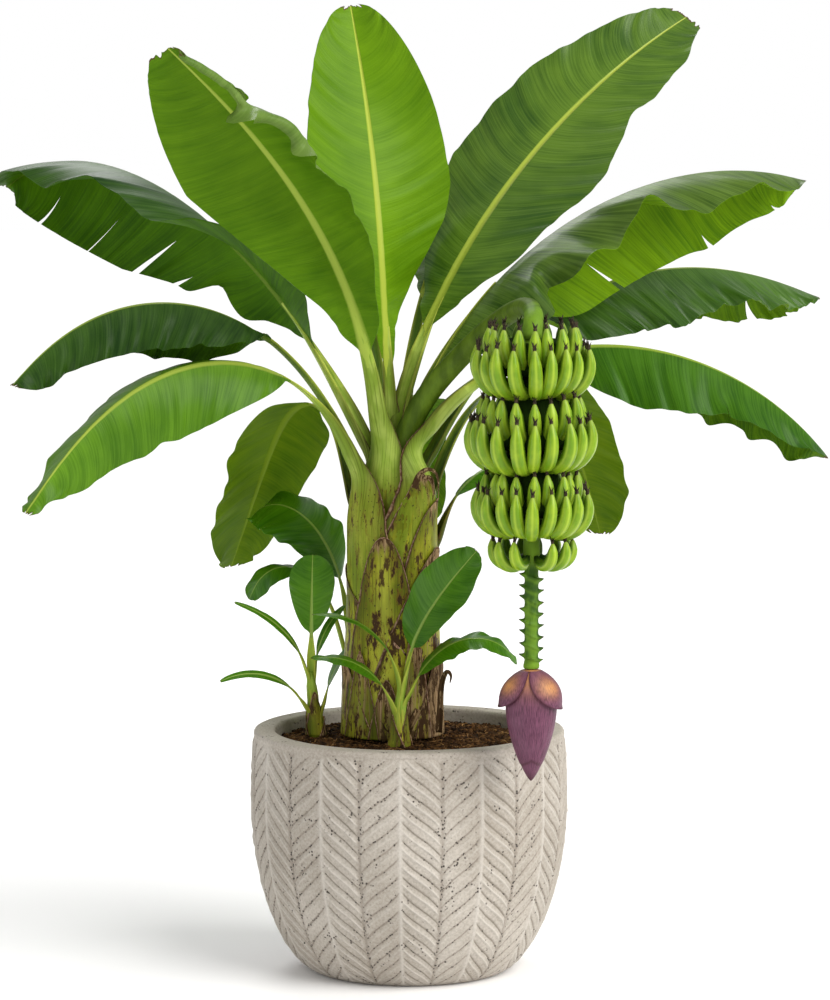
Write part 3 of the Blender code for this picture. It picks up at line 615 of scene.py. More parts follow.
def grow(name, base, tree, values):
    """Apply a geometry node tree to a copy of a base mesh and keep the plain result."""
    host = bpy.data.objects.new(name + "_host", base)
    bpy.context.scene.collection.objects.link(host)
    modifier = host.modifiers.new("grow", "NODES")
    modifier.node_group = tree
    for item in tree.interface.items_tree:
        if item.in_out == "INPUT" and item.name in values:
            modifier[item.identifier] = values[item.name]
    evaluated = host.evaluated_get(bpy.context.evaluated_depsgraph_get())
    mesh = bpy.data.meshes.new_from_object(evaluated)
    bpy.data.objects.remove(host, do_unlink=True)
    mesh.name = name
    return placed(name, mesh)


def scatter_tree():
    tree = GeometryTree("scatter_on_top", {"Grain": "Object", "Density": "Float", "Small": "Float",
                                           "Large": "Float", "Tilt": "Float", "Seed": "Int",
                                           "Finish": "Material"})
    given = tree.given
    place = tree.node("GeometryNodeInputPosition")[0]
    apart = tree.node("ShaderNodeSeparateXYZ", Vector=place)
    out = tree.node("ShaderNodeMath", {"operation": "GREATER_THAN"}, Value=apart[2])
    out[0].node.inputs[1].default_value = SOIL_LEVEL - 0.03
    points = tree.node("GeometryNodeDistributePointsOnFaces", Mesh=given["Geometry"],
                       Selection=out[0], Density=given["Density"], Seed=given["Seed"])
    grain = tree.node("GeometryNodeObjectInfo", Object=given["Grain"])
    size = tree.value("FunctionNodeRandomValue", "FLOAT", Min=given["Small"], Max=given["Large"],
                      Seed=given["Seed"])
    lean = tree.node("ShaderNodeCombineXYZ", X=given["Tilt"], Y=given["Tilt"], Z=math.pi)
    back = tree.node("ShaderNodeVectorMath", {"operation": "SCALE"}, Vector=lean[0], Scale=-1.0)
    spin = tree.value("FunctionNodeRandomValue", "FLOAT_VECTOR", Min=back[0], Max=lean[0],
                      Seed=given["Seed"])
    grains = tree.node("GeometryNodeInstanceOnPoints", Points=points[0], Instance=grain["Geometry"],
                       Rotation=spin, Scale=size)
    return tree.finish(grains[0], given["Finish"])


def scatter(name, bed, mesh, material, density, sizes, seed, tilt):
    """Grains strewn over the top of a bed and tilted up to an angle, as one plain mesh."""
    grain = placed(mesh.name + "_source", mesh)
    tree = bpy.data.node_groups.get("scatter_on_top") or scatter_tree()
    made = grow(name, bed.data, tree, {"Grain": grain, "Density": density, "Small": sizes[0],
                                       "Large": sizes[1], "Tilt": tilt, "Seed": seed,
                                       "Finish": material})
    bpy.data.objects.remove(grain, do_unlink=True)
    settle(made, SLOTS["potting_soil"])


# ================================================================ shape tables of the plant
STEM_FLARE = 0.55               # share of a stem's height that tapers up from its foot
STALK_THICKNESS = 0.66          # depth of a leaf stalk over its width
STALK_TIP = 0.0095              # half-width of a stalk where its blade starts
STALK_TAPER = 1.4               # how early a stalk loses its width
NARROW = 0.06                   # half-width under which a blade flattens towards its rib
RIB_LOSS = 0.85                 # share of the rib's depth lost on the way to the tip
PEDUNCLE_RADIUS = 0.019

Stem = namedtuple("Stem", "x y foot_radius top_radius top lean_x")
STEMS = {
    "pseudostem": Stem(-0.034, 0.020, 0.097, 0.086, 1.000, 0.000),
    "sucker_stem_left": Stem(-0.189, 0.035, 0.019, 0.010, 0.600, -0.012),
    "sucker_stem_front": Stem(-0.019, -0.112, 0.021, 0.013, 0.580, 0.003),
    "sucker_stem_back": Stem(-0.116, 0.142, 0.016, 0.011, 0.620, 0.002),
}

# ---------------------------------------------------------------- fronds
# compass, turn: heading of the stalk, and how far it turns on the way to the tip
# rise, fall: elevation at the foot and at the tip; knee, sharp: where and how fast it changes
# foot: distance out from the stem's axis, and height; stalk, blade: lengths; half: half-width
# thick: half-width of the stalk at its foot; widest: where the blade is widest, 0 to 1
# ends: roundness of base and tip; roll: turn about the rib at base and tip
# left, right: fold of that half at base and tip, then its curl at base and tip
LEVEL = (0, 0, 0, 0)
Frond = namedtuple("Frond", "stem compass turn rise fall knee sharp foot stalk blade half thick "
                   "widest ends roll left right", defaults=(0.5, (2, 2), (0, 0), LEVEL, LEVEL))
MAIN = "pseudostem"
FRONDS = {
    "top": Frond(MAIN, 107, 3, 82, 62, 0.56, 1.4, (0.01, 1.1), 0.2, 0.69, 0.168, 0.019, 0.44, (1.2, 1.2),
        (-26, 14), (-5, 15, 15, 15), (-30, 25, 10, 10)),
    "upper_left": Frond(MAIN, -120, 1, 82, 27, 0.33, 1.3, (0.03, 1.0), 0.355, 0.88, 0.17, 0.031, 0.6,
        (1.2, 1.2), (-28, -26), (-15, -15, -20, -85), (-45, -10, 0, 0)),
    "upper_right": Frond(MAIN, 38, 2, 77, 24, 0.37, 0.9, (0.01, 1.1), 0.28, 0.895, 0.168, 0.021, 0.36,
        (1.2, 1.2), (-4, -26), (-5, 25, 0, 0), (-10, -5, 0, 0)),
    "left": Frond(MAIN, 161, -19, 64, -38, 0.73, 1.0, (0.04, 1.04), 0.36, 0.805, 0.192, 0.026, 0.48,
        (1.2, 2.0), (-22, -30), (-5, -35, -15, -15), (-45, -75, -20, -20)),
    "left_middle": Frond(MAIN, -160, 2, 68, -49, 0.57, 1.3, (0.06, 0.99), 0.375, 0.585, 0.114, 0.022, 0.34,
        (2.0, 1.2), (-16, 14), (-35, -65, -20, -20), (-65, -60, -20, -20)),
    "left_low": Frond(MAIN, -149, -2, 82, -54, 0.44, 1.4, (0.05, 0.88), 0.405, 0.675, 0.13, 0.028, 0.42,
        (1.8, 1.2), (12, 24), (-30, -65, -30, -30), (-5, -30, -25, -25)),
    "left_hanging": Frond(MAIN, 137, -5, 74, -64, 0.43, 4.4, (0.08, 0.84), 0.355, 0.45, 0.112, 0.018, 0.38,
        (2.8, 2.6), (-12, 4), (-10, -15, 0, 0), (-25, -10, 0, 0)),
    "right": Frond(MAIN, 15, 0, 76, -18, 0.55, 0.9, (0.02, 1.05), 0.39, 0.725, 0.18, 0.026, 0.26,
        (3.0, 2.4), (22, 18), (-60, -55, -15, -15), (-20, -30, -20, -20)),
    "right_middle": Frond(MAIN, 29, 0, 62, -22, 0.49, 1.2, (0.06, 0.99), 0.44, 0.7, 0.134, 0.02, 0.36,
        (2.6, 2.0), (-16, 10), (-45, -60, -15, -15), (-40, -30, -15, -15)),
    "right_low": Frond(MAIN, -4, 1, 83, -54, 0.39, 0.9, (0.02, 0.98), 0.44, 0.625, 0.134, 0.03, 0.34,
        (1.4, 1.2), (-10, 6), (-60, -50, -15, -15), (-60, -25, -15, -15)),
    "right_hanging": Frond(MAIN, 50, 1, 65, -68, 0.49, 2.0, (0.07, 0.85), 0.42, 0.545, 0.104, 0.017, 0.5,
        (2.4, 2.8), (12, 0), (0, 0, 0, 0), (10, 0, 0, 0)),
    "back_left": Frond(MAIN, 110, 0, 80, -22, 0.52, 1.2, (0.035, 1.02), 0.4, 0.7, 0.125, 0.02, 0.42,
        (1.8, 1.6), (0, 0), (-20, -30, -15, -15), (-20, -30, -15, -15)),
    "back_right": Frond(MAIN, 66, 0, 80, -15, 0.55, 1.2, (0.035, 1.02), 0.4, 0.7, 0.125, 0.02, 0.42,
        (1.8, 1.6), (0, 0), (-20, -30, -15, -15), (-20, -30, -15, -15)),
    "back_hanging": Frond(MAIN, 84, 0, 68, -70, 0.48, 1.8, (0.075, 0.87), 0.36, 0.48, 0.105, 0.018, 0.45,
        (2.2, 2.0), (0, 0), (-10, -20, 0, 0), (-10, -20, 0, 0)),
}
LEFT, FRONT, BACK = "sucker_stem_left", "sucker_stem_front", "sucker_stem_back"
SMALL_LEAVES = {
    "stem_shoot_leaf": Frond(MAIN, 16, 0, 76, -22, 0.58, 1.7, (0.07, 0.79), 0.18, 0.27, 0.042, 0.009, 0.5,
        (2.2, 2.2), (0, 0), (-20, -20, 0, 0), (-55, -45, 0, 0)),
    "sucker_leaf_back_large": Frond(BACK, 158, -9, 86, -51, 0.78, 1.2, (0.0, 0.6), 0.18, 0.29, 0.094, 0.009,
        0.54, (1.8, 2.2), (-4, 10), (-15, -25, 0, 0), (0, 5, 0, 0)),
    "sucker_leaf_back_small": Frond(BACK, 179, 4, 79, -69, 0.71, 1.8, (0.005, 0.57), 0.24, 0.155, 0.052,
        0.007, 0.52, (2.2, 2.4), (2, 20), (-20, -15, 0, 0), (-15, 5, 0, 0)),
    "sucker_leaf_left_oval": Frond(LEFT, 85, 0, 90, 76, 0.5, 1.2, (0.0, 0.575), 0.105, 0.158, 0.047, 0.006,
        0.62, (1.3, 2.2), (0, 0), (5, 5, 0, 0), (5, 5, 0, 0)),
    "sucker_leaf_left_high": Frond(LEFT, -165, 0, 81, 19, 0.46, 1.1, (0.002, 0.57), 0.08, 0.17, 0.014,
        0.005, 0.5, (1.6, 1.6), (48, 38), (-14, -14, 0, 0), (-14, -14, 0, 0)),
    "sucker_leaf_left_low": Frond(LEFT, -155, 0, 76, -23, 0.5, 1.0, (0.004, 0.49), 0.105, 0.155, 0.014,
        0.005, 0.5, (1.6, 1.6), (48, 42), (-14, -14, 0, 0), (-14, -14, 0, 0)),
    "sucker_leaf_left_dark": Frond(LEFT, 40, 0, 90, 35, 0.54, 1.2, (0.004, 0.56), 0.08, 0.115, 0.014, 0.004,
        0.5, (2.2, 2.2), (0, 0), (0, 0, 0, 0), (0, 5, 0, 0)),
    "sucker_leaf_left_small": Frond(LEFT, 10, 1, 82, 55, 0.53, 1.3, (0.012, 0.5), 0.072, 0.085, 0.028,
        0.005, 0.5, (2.2, 2.2), (0, 0), (10, 10, 0, 0), (5, 5, 0, 0)),
    "sucker_leaf_front_oval": Frond(FRONT, -6, 1, 86, 49, 0.41, 1.5, (0.0, 0.54), 0.135, 0.235, 0.062,
        0.007, 0.5, (2.0, 1.8), (-50, -62), (15, 5, 0, 0), (20, 0, 0, 0)),
    "sucker_leaf_front_right": Frond(FRONT, -11, 2, 71, -64, 0.67, 1.2, (0.005, 0.545), 0.08, 0.245, 0.04,
        0.006, 0.46, (2.2, 2.0), (-20, 0), (0, -5, 0, 0), (-40, -25, 0, 0)),
    "sucker_leaf_front_high": Frond(FRONT, -167, -1, 90, -4, 0.52, 1.1, (0.0, 0.565), 0.105, 0.18, 0.018,
        0.006, 0.48, (2.2, 2.2), (12, 4), (-35, -25, 0, 0), (-15, -10, 0, 0)),
    "sucker_leaf_front_low": Frond(FRONT, -157, -1, 80, -4, 0.53, 1.2, (0.0, 0.5), 0.11, 0.165, 0.032,
        0.006, 0.48, (2.2, 2.2), (18, 2), (-30, -25, 0, 0), (5, -5, 0, 0)),
}
PEDUNCLE = Frond(MAIN, 7, -109, 79, -90, 0.80, 0.72, (0.015, 1.040), 0.697, 0.0, 0.0, 0.024)


def sag(share, knee, sharp):
    """Smooth step from 0 to 1 that is half done at the knee."""
    share = unit(share)
    rise = share ** sharp
    rest = (knee / (1 - knee) * (1 - share)) ** sharp
    return rise / (rise + rest)


def stem_share(stem, height):
    return (height - SOIL_LEVEL) / (stem.top - SOIL_LEVEL)


def stem_axis(stem, height):
    """Point on a stem's leaning axis at a height."""
    return np.array((stem.x + stem.lean_x * stem_share(stem, height), stem.y, height))


def stem_radius(stem, height):
    """Radius of a stem, flared at its foot."""
    taper = unit(stem_share(stem, height) / STEM_FLARE)
    return stem.foot_radius + (stem.top_radius - stem.foot_radius) * taper


class Spine:
    """Centre line of a frond, from its foot to its tip, with a frame at each point."""

    STEPS = 160

    def __init__(self, frond):
        self.frond = frond
        self.length = frond.stalk + frond.blade
        heading = math.radians(frond.compass)
        outward = np.array((math.cos(heading), math.sin(heading), 0.0))
        out, height = frond.foot
        steps = self.tangent((np.arange(self.STEPS) + 0.5) / self.STEPS)
        start = stem_axis(STEMS[frond.stem], height) + outward * out
        self.points = np.vstack([start, start + np.cumsum(steps, 0) * self.length / self.STEPS])

    def angles(self, share):
        """Elevation and heading, in radians."""
        frond = self.frond
        elevation = blend((frond.rise, frond.fall), sag(share, frond.knee, frond.sharp))
        return np.radians(elevation), np.radians(frond.compass + frond.turn * share)

    def tangent(self, share):
        elevation, heading = self.angles(share)
        flat = np.cos(elevation)
        return np.stack([flat * np.cos(heading), flat * np.sin(heading), np.sin(elevation)], -1)

    def point(self, distance):
        place = unit(distance / self.length) * self.STEPS
        marks = np.arange(self.STEPS + 1)
        return np.stack([np.interp(place, marks, self.points[:, axis]) for axis in range(3)], -1)

    def frame(self, distance):
        """Right and up vectors at a distance from the foot, rolled with the blade."""
        elevation, heading = self.angles(distance / self.length)
        side = np.stack([np.sin(heading), -np.cos(heading), 0 * heading], -1)
        up = np.stack([-np.sin(elevation) * np.cos(heading),
                       -np.sin(elevation) * np.sin(heading), np.cos(elevation)], -1)
        frond = self.frond
        share = (distance - frond.stalk) / frond.blade if frond.blade else 0 * distance
        roll = np.radians(blend(frond.roll, np.maximum(share, 0.0)))
        roll = (roll * unit(1 + share * 3))[..., None]
        return turned(side, up, roll)

    def stalk_half(self, distance):
        """Half-width of the stalk, which narrows into the blade's rib."""
        frond = self.frond
        share = unit(distance / frond.stalk)
        tip = min(STALK_TIP, 0.6 * frond.thick) if frond.blade else PEDUNCLE_RADIUS
        return tip + (frond.thick - tip) * (1 - share) ** STALK_TAPER


def blade_half(frond, share):
    """Half-width of the blade outline."""
    low = share < frond.widest
    away = np.where(low, (frond.widest - share) / frond.widest,
                    (share - frond.widest) / (1 - frond.widest))
    power = np.where(low, frond.ends[0], frond.ends[1])
    return frond.half * np.sqrt(unit(1 - unit(away) ** power))


def blade_surface(spine, share, across, half):
    """Places on a blade of given half-widths, and the directions away from its upper side."""
    frond = spine.frond
    right = across >= 0
    ease = np.minimum(1.0, half / NARROW)
    fold = np.where(right, blend(frond.right[0:2], share), blend(frond.left[0:2], share))
    curl = np.where(right, blend(frond.right[2:4], share), blend(frond.left[2:4], share))
    fold = np.radians(fold) * ease
    curl = np.radians(curl) * ease
    curl = np.where(np.abs(curl) < 0.001, 0.001, curl)
    slope = fold + curl * np.abs(across)
    sign = np.where(right, 1.0, -1.0)
    out = half * (np.sin(slope) - np.sin(fold)) / curl * sign
    lift = half * (np.cos(fold) - np.cos(slope)) / curl
    distance = frond.stalk + frond.blade * share
    side, up = spine.frame(distance)
    place = spine.point(distance) + side * out[..., None] + up * lift[..., None]
    turn = (slope * sign * smoothstep(np.abs(across) * half / 0.012))[..., None]
    return place, turned(side, up, turn)[1]


# ================================================================ leaf blades
# skin: which leaf colours; ruffle: height of the margin's waves, and their length
# tail: how far the blade runs down its stalk, and its half-width there, left and right
# blunt: half-width of the torn end, left and right
# slits: side, vein it follows (share of the blade), where it starts across, opening width
# edits: side, share, spread along the blade, change of width, lift of the margin
# rolls: side, share where it starts and ends, place across of the fold, angle, radius
# the defaults are those of the small leaves
Look = namedtuple("Look", "skin ruffle tail blunt slits edits rolls",
                  defaults=((0.012, 0.004, 0.004), (0.003, 0.003), (), (), ()))
LOOKS = {
    "top": Look("young", (0.004, 1.2), (0.13, 0.026, 0.03), (0.004, 0.005), (),
        ((1, 0.34, 0.1, 0.08, 0.0), (-1, 0.6, 0.2, 0.02, 0.0))),
    "upper_left": Look("broad", (0.003, 1.6), (0.12, 0.05, 0.045), (0.016, 0.04), (),
        ((-1, 0.76, 0.035, -0.05, -0.02), (-1, 0.66, 0.04, 0.08, 0.022), (-1, 0.5, 0.06, -0.07, -0.01),
        (-1, 0.34, 0.05, -0.03, 0.008), (-1, 0.9, 0.11, 0.36, 0.0), (-1, 0.68, 0.06, 0.2, 0.0)),
        ((-1, 0.72, 1.04, 0.54, -160, 0.009), (-1, 0.57, 0.73, 0.74, -130, 0.012))),
    "upper_right": Look("deep", (0.004, 1.3), (0.09, 0.055, 0.055), (0.034, 0.04), (),
        ((1, 0.88, 0.05, 0.16, 0.006), (1, 0.64, 0.055, -0.15, -0.008), (1, 0.42, 0.08, 0.11, 0.004),
        (1, 0.12, 0.08, 0.14, 0.0), (-1, 0.63, 0.04, 0.06, 0.006), (-1, 0.73, 0.03, -0.03, -0.004),
        (-1, 0.5, 0.03, 0.03, 0.004), (-1, 0.1, 0.08, 0.1, 0.0))),
    "left": Look("left_gloss", (0.005, 1.1), (0.16, 0.085, 0.05), (0.02, 0.02), ((1, 0.185, 0.8, 0.006),
        (1, 0.325, 0.46, 0.008), (1, 0.52, 0.42, 0.0016), (1, 0.755, 0.42, 0.004)),
        ((1, 0.165, 0.045, -0.26, 0.012), (1, 0.04, 0.05, 0.35, -0.012), (1, 0.25, 0.03, 0.06, 0.0),
        (-1, 0.57, 0.06, 0.1, -0.03), (-1, 0.42, 0.045, 0.0, 0.018), (-1, 0.24, 0.05, 0.1, -0.026),
        (-1, 0.12, 0.045, 0.0, 0.014), (-1, 0.76, 0.06, 0.0, 0.016), (-1, 0.0, 0.15, 0.0, 0.075))),
    "left_middle": Look("left_gloss", (0.011, 0.55), (0.03, 0.02, 0.02), (0.014, 0.02),
        ((1, 0.45, 0.62, 0.004),), ((-1, 0.93, 0.05, 0.3, -0.012), (1, 0.18, 0.05, 0.1, 0.0),
        (1, 0.4, 0.04, 0.08, 0.0))),
    "left_low": Look("fresh", (0.005, 1.0), (0.03, 0.02, 0.014), (0.01, 0.01), (),
        ((-1, 0.94, 0.05, -0.45, 0.0), (-1, 0.6, 0.04, 0.07, 0.004), (-1, 0.52, 0.03, -0.05, -0.003),
        (1, 0.71, 0.05, 0.22, 0.01))),
    "left_hanging": Look("hanging", (0.007, 0.9), (0.02, 0.02, 0.02), (0.024, 0.02), (),
        ((-1, 0.78, 0.18, 0.18, 0.0), (-1, 0.42, 0.04, 0.06, 0.0), (1, 0.62, 0.16, -0.12, 0.0))),
    "right": Look("right_gloss", (0.004, 1.2), (0.26, 0.045, 0.24), (0.014, 0.014),
        ((-1, 0.22, 0.55, 0.006), (-1, 0.6, 0.8, 0.006), (-1, 0.86, 0.8, 0.004)),
        ((1, 0.2, 0.045, 0.14, -0.036), (1, 0.335, 0.05, -0.06, 0.058), (1, 0.52, 0.06, 0.06, -0.026),
        (1, 0.7, 0.045, -0.04, 0.03), (-1, 0.86, 0.08, -0.1, 0.0), (-1, 0.7, 0.05, 0.05, 0.0)),
        ((1, -0.45, 0.12, 0.62, -78, 0.022),)),
    "right_middle": Look("dark", (0.013, 0.5), (0.06, 0.02, 0.02), (0.012, 0.014),
        ((-1, 0.74, 0.52, 0.009),), ((1, 0.6, 0.045, -0.12, 0.02), (1, 0.4, 0.05, 0.14, -0.012),
        (1, 0.5, 0.025, -0.03, 0.01), (1, 0.78, 0.04, 0.05, -0.01), (-1, 0.76, 0.07, 0.06, -0.008))),
    "right_low": Look("shaded", (0.007, 0.8), (0.03, 0.016, 0.016), (0.014, 0.014),
        ((1, 0.545, 0.8, 0.003),), ((-1, 0.6, 0.035, 0.2, -0.004), (-1, 0.77, 0.035, 0.24, -0.004),
        (-1, 0.69, 0.03, -0.05, 0.008), (-1, 0.92, 0.04, 0.45, -0.008), (1, 0.5, 0.035, 0.06, -0.004),
        (1, 0.62, 0.04, -0.12, 0.01))),
    "right_hanging": Look("hanging", (0.004, 1.0), (0.03, 0.02, 0.02), (0.024, 0.02), (),
        ((1, 0.8, 0.04, 0.12, 0.0), (1, 0.6, 0.05, -0.04, 0.0))),
    "back_left": Look("deep", (0.008, 0.9), (0.06, 0.03, 0.03), (0.012, 0.012), ((1, 0.55, 0.45, 0.005),)),
    "back_right": Look("deep", (0.008, 0.9), (0.06, 0.03, 0.03), (0.012, 0.012), ((-1, 0.62, 0.4, 0.005),)),
    "back_hanging": Look("shaded", (0.006, 0.9), (0.03, 0.02, 0.02), (0.004, 0.004), (),
        ((1, 0.62, 0.3, -0.45, 0.0), (-1, 0.62, 0.3, -0.45, 0.0))),
}
BLADE_ROWS, BLADE_COLUMNS = 150, 18
LEAF_HALF_THICKNESS = 0.0006
VEIN_BUMPS = 0.0013             # height of the folds between a blade's main side veins
VEIN_LEAN = 0.45                # how far a side vein runs forward for its length


def waves(along, seed, lengths, weights):
    """Uneven wave along a blade, made of a few lengths."""
    phases = np.random.default_rng(seed).uniform(0, 2 * math.pi, len(lengths))
    return sum(weight * np.sin(2 * math.pi * along / length + phase)
               for length, weight, phase in zip(lengths, weights, phases))


def two_sided(name, upper, under, faces, materials, uvs, masks):
    """Closed thin mesh from two matching skins and the faces of the upper one."""
    count = len(upper)
    edges = {}
    for face in faces:
        for start, end in zip(face, face[1:] + face[:1]):
            if (end, start) in edges:
                del edges[(end, start)]
            else:
                edges[(start, end)] = True
    skins = faces + [[corner + count for corner in reversed(face)] for face in faces]
    rim = [[end, start, start + count, end + count] for start, end in edges]
    flat_masks = {key: np.concatenate([values, values]) for key, values in masks.items()}
    flat_masks["under"] = np.concatenate([np.zeros(count), np.ones(count)])
    made = mesh_object(name, np.vstack([upper, under]).tolist(), skins + rim, materials,
                       np.vstack([uvs, uvs]), flat_masks)
    made.data.set_sharp_from_angle(angle=math.radians(55))
    return made


def blade_rows(start, count, slits):
    """Shares of the blade at which side veins are meshed, with every slit's vein doubled."""
    steps = np.linspace(0.0, 1.0, count)
    eased = 0.25 * (1 - np.cos(math.pi * steps)) / 2 + 0.75 * steps
    rows = [(share, None) for share in start + (0.997 - start) * eased]
    for number, (_, vein, _, _) in enumerate(slits):
        near = min(range(len(rows)), key=lambda index: abs(rows[index][0] - vein))
        rows[near] = (vein, None)
        rows.insert(near + 1, (vein, number))
    return rows


def blade_columns(half, rib, count):
    """Places across a blade, closer together over its rib, from margin to margin."""
    over_rib = np.minimum(1.5 * rib, 0.7 * half)
    near = np.array((0.0, 0.3, 0.6, 0.85, 1.0))[None, :] * over_rib[:, None] / half[:, None]
    steps = np.linspace(0.0, 1.0, count + 1)[1:]
    far = near[:, -1:] + (1 - near[:, -1:]) * steps[None, :] ** 0.9
    right = np.concatenate([near, far], 1)
    return np.concatenate([-right[:, :0:-1], right], 1)


def dressed_half(frond, look, share, across):
    """Half-width of a blade with its run down the stalk, its blunt end and its own edits."""
    right = across >= 0
    half = blade_half(frond, unit(share))
    run, left_tail, right_tail = look.tail
    tail = np.where(right, right_tail, left_tail)
    tail = tail * smoothstep((share + run / frond.blade) * frond.blade / run)
    tail = tail * (1 - smoothstep((share - 0.03) / 0.10))
    blunt = np.where(right, look.blunt[1], look.blunt[0]) * smoothstep((share - 0.84) / 0.12)
    half = (half ** 3 + tail ** 3 + blunt ** 3) ** (1 / 3)
    for sign, centre, spread, change, _ in look.edits:
        half = half * (1 + change * bell(share - centre, spread) * (across * sign > 0))
    return half


def margin_lift(look, veins, across, metres, seed):
    """Waves of the margins, and the lifts and drops that the blade is given."""
    height, length = look.ruffle
    shape = (0.21 * length, 0.11 * length, 0.062 * length), (0.5, 0.4, 0.25)
    ripple = np.where(across >= 0, waves(metres, seed, *shape), waves(metres, seed + 50, *shape))
    lift = height * ripple * np.abs(across) ** 2.4
    for sign, centre, spread, _, rise in look.edits:
        near = bell(veins - centre, spread)[:, None]
        lift = lift + rise * near * (across * sign > 0) * np.abs(across) ** 1.8
    return lift


def roll_over(look, veins, across, half, place, away):
    """Roll parts of the margins over, upwards or with a negative angle downwards."""
    outward = np.gradient(place, axis=1)
    outward /= np.linalg.norm(outward, axis=-1, keepdims=True) + 1e-9
    outward = outward * np.sign(across + 1e-9)[..., None]
    for sign, start, end, inner, degrees, radius in look.rolls:
        window = smoothstep((veins - start) / 0.06) * smoothstep((end - veins) / 0.06)
        angle = math.radians(abs(degrees)) * window[:, None] + 0 * across
        above = math.copysign(1.0, degrees)
        flat = np.clip(across * sign - inner, 0.0, None) * half
        bent = np.minimum(flat / radius, angle)
        rest = flat - radius * bent
        out = radius * np.sin(bent) + rest * np.cos(bent) - flat
        lift = radius * (1 - np.cos(bent)) + rest * np.sin(bent)
        place = place + outward * out[..., None] + away * (above * lift)[..., None]
        away = away * np.cos(bent)[..., None] - outward * (above * np.sin(bent))[..., None]
    return place, away


def tear(look, veins, stations, across, blade):
    """Shift along the blade and sag that open its slits."""
    shift, droop = np.zeros_like(across), np.zeros_like(across)
    for number, (sign, vein, inner, width) in enumerate(look.slits):
        opening = np.clip((across * sign - inner) / (1 - inner), 0.0, None)
        after = np.array([station > vein or own == number for station, own in stations])
        fade = bell(veins - vein, 0.05)
        shift += (np.where(after, 0.5, -0.5) * fade)[:, None] * opening * width / blade * 2
        droop += (np.where(after, -0.35, 0.5) * fade)[:, None] * opening * width
    return shift, droop


def build_blade(name, spine, look, rows, columns, seed):
    """Thin blade with a channelled midrib, ruffled margins and slits that follow its veins."""
    frond = spine.frond
    stations = blade_rows(0.003 - look.tail[0] / frond.blade, rows, look.slits)
    veins = np.array([vein for vein, _ in stations])
    wide = np.maximum(dressed_half(frond, look, veins, np.ones(len(veins))), 0.003)
    rib = spine.stalk_half(frond.stalk + frond.blade * np.minimum(veins, 0.0))
    rib = rib * (1 - RIB_LOSS * np.maximum(veins, 0.0))
    across = blade_columns(wide, rib, columns)
    lean = VEIN_LEAN * frond.half / frond.blade * smoothstep(5 * (1 - veins)) * smoothstep(6 * veins)
    vein_grid = np.repeat(veins[:, None], across.shape[1], 1)
    shift, droop = tear(look, veins, stations, across, frond.blade)
    share = vein_grid + lean[:, None] * np.abs(across) ** 1.5 + shift
    ragged = 0.997 - 0.008 * np.abs(waves(across[-1], seed + 11, (1.3, 0.55, 0.30), (1, 0.8, 0.5))) \
        * np.minimum(1.0, np.abs(across[-1]) * 3)
    share = np.minimum(share, ragged[None, :])
    half = np.maximum(dressed_half(frond, look, share, across), 0.0025)
    place, away = blade_surface(spine, share, across, half)
    metres = vein_grid * frond.blade
    calm = smoothstep(wide / 0.05)[:, None]
    lift = margin_lift(look, veins, across, metres, seed) * calm + droop
    lift += VEIN_BUMPS * waves(metres, seed + 90, (0.052, 0.034), (0.6, 0.4)) * calm \
        * np.abs(across) ** 0.6
    place = place + away * lift[..., None]
    place, away = roll_over(look, veins, across, half, place, away)
    out = np.abs(across) * half
    on_rib = unit(out / rib[:, None])
    bulge = rib[:, None] * STALK_THICKNESS * np.sqrt(1 - on_rib ** 2)
    sink = -0.30 * rib[:, None] * (1 - smoothstep(on_rib))
    skin = LEAF_HALF_THICKNESS
    upper = place + away * (skin + sink)[..., None]
    under = place - away * np.maximum(skin, bulge)[..., None]
    index = np.arange(share.size).reshape(share.shape)
    for row, (_, number) in enumerate(stations):
        if number is not None:
            sign, _, inner, _ = look.slits[number]
            closed = across[row] * sign <= inner + 0.001
            index[row][closed] = index[row - 1][closed]
    faces = []
    for row, (_, number) in enumerate(stations[1:]):
        if number is None:
            low, high = index[row].tolist(), index[row + 1].tolist()
            faces += [list(corners) for corners in zip(low[:-1], low[1:], high[1:], high[:-1])]
    used = np.unique(index)
    lookup = np.full(share.size, -1)
    lookup[used] = np.arange(len(used))
    faces = [[int(lookup[corner]) for corner in face] for face in faces]
    uvs = np.stack([across, metres + seed], -1).reshape(-1, 2)[used]
    end = smoothstep((share - ragged[None, :] + 0.012) / 0.012)
    tip = unit(end + 0.35 * smoothstep((np.abs(across) - 0.955) / 0.045))
    masks = {"rib": 1 - smoothstep((out / rib[:, None] - 0.75) / 0.5), "tip": tip}
    masks = {key: values.ravel()[used] for key, values in masks.items()}
    return two_sided(name, upper.reshape(-1, 3)[used], under.reshape(-1, 3)[used], faces,
                     [SKINS[look.skin]], uvs, masks)


LEAF_TONES = ("Top", "Top Light", "Below", "Below Light", "Rib Top", "Rib Below")


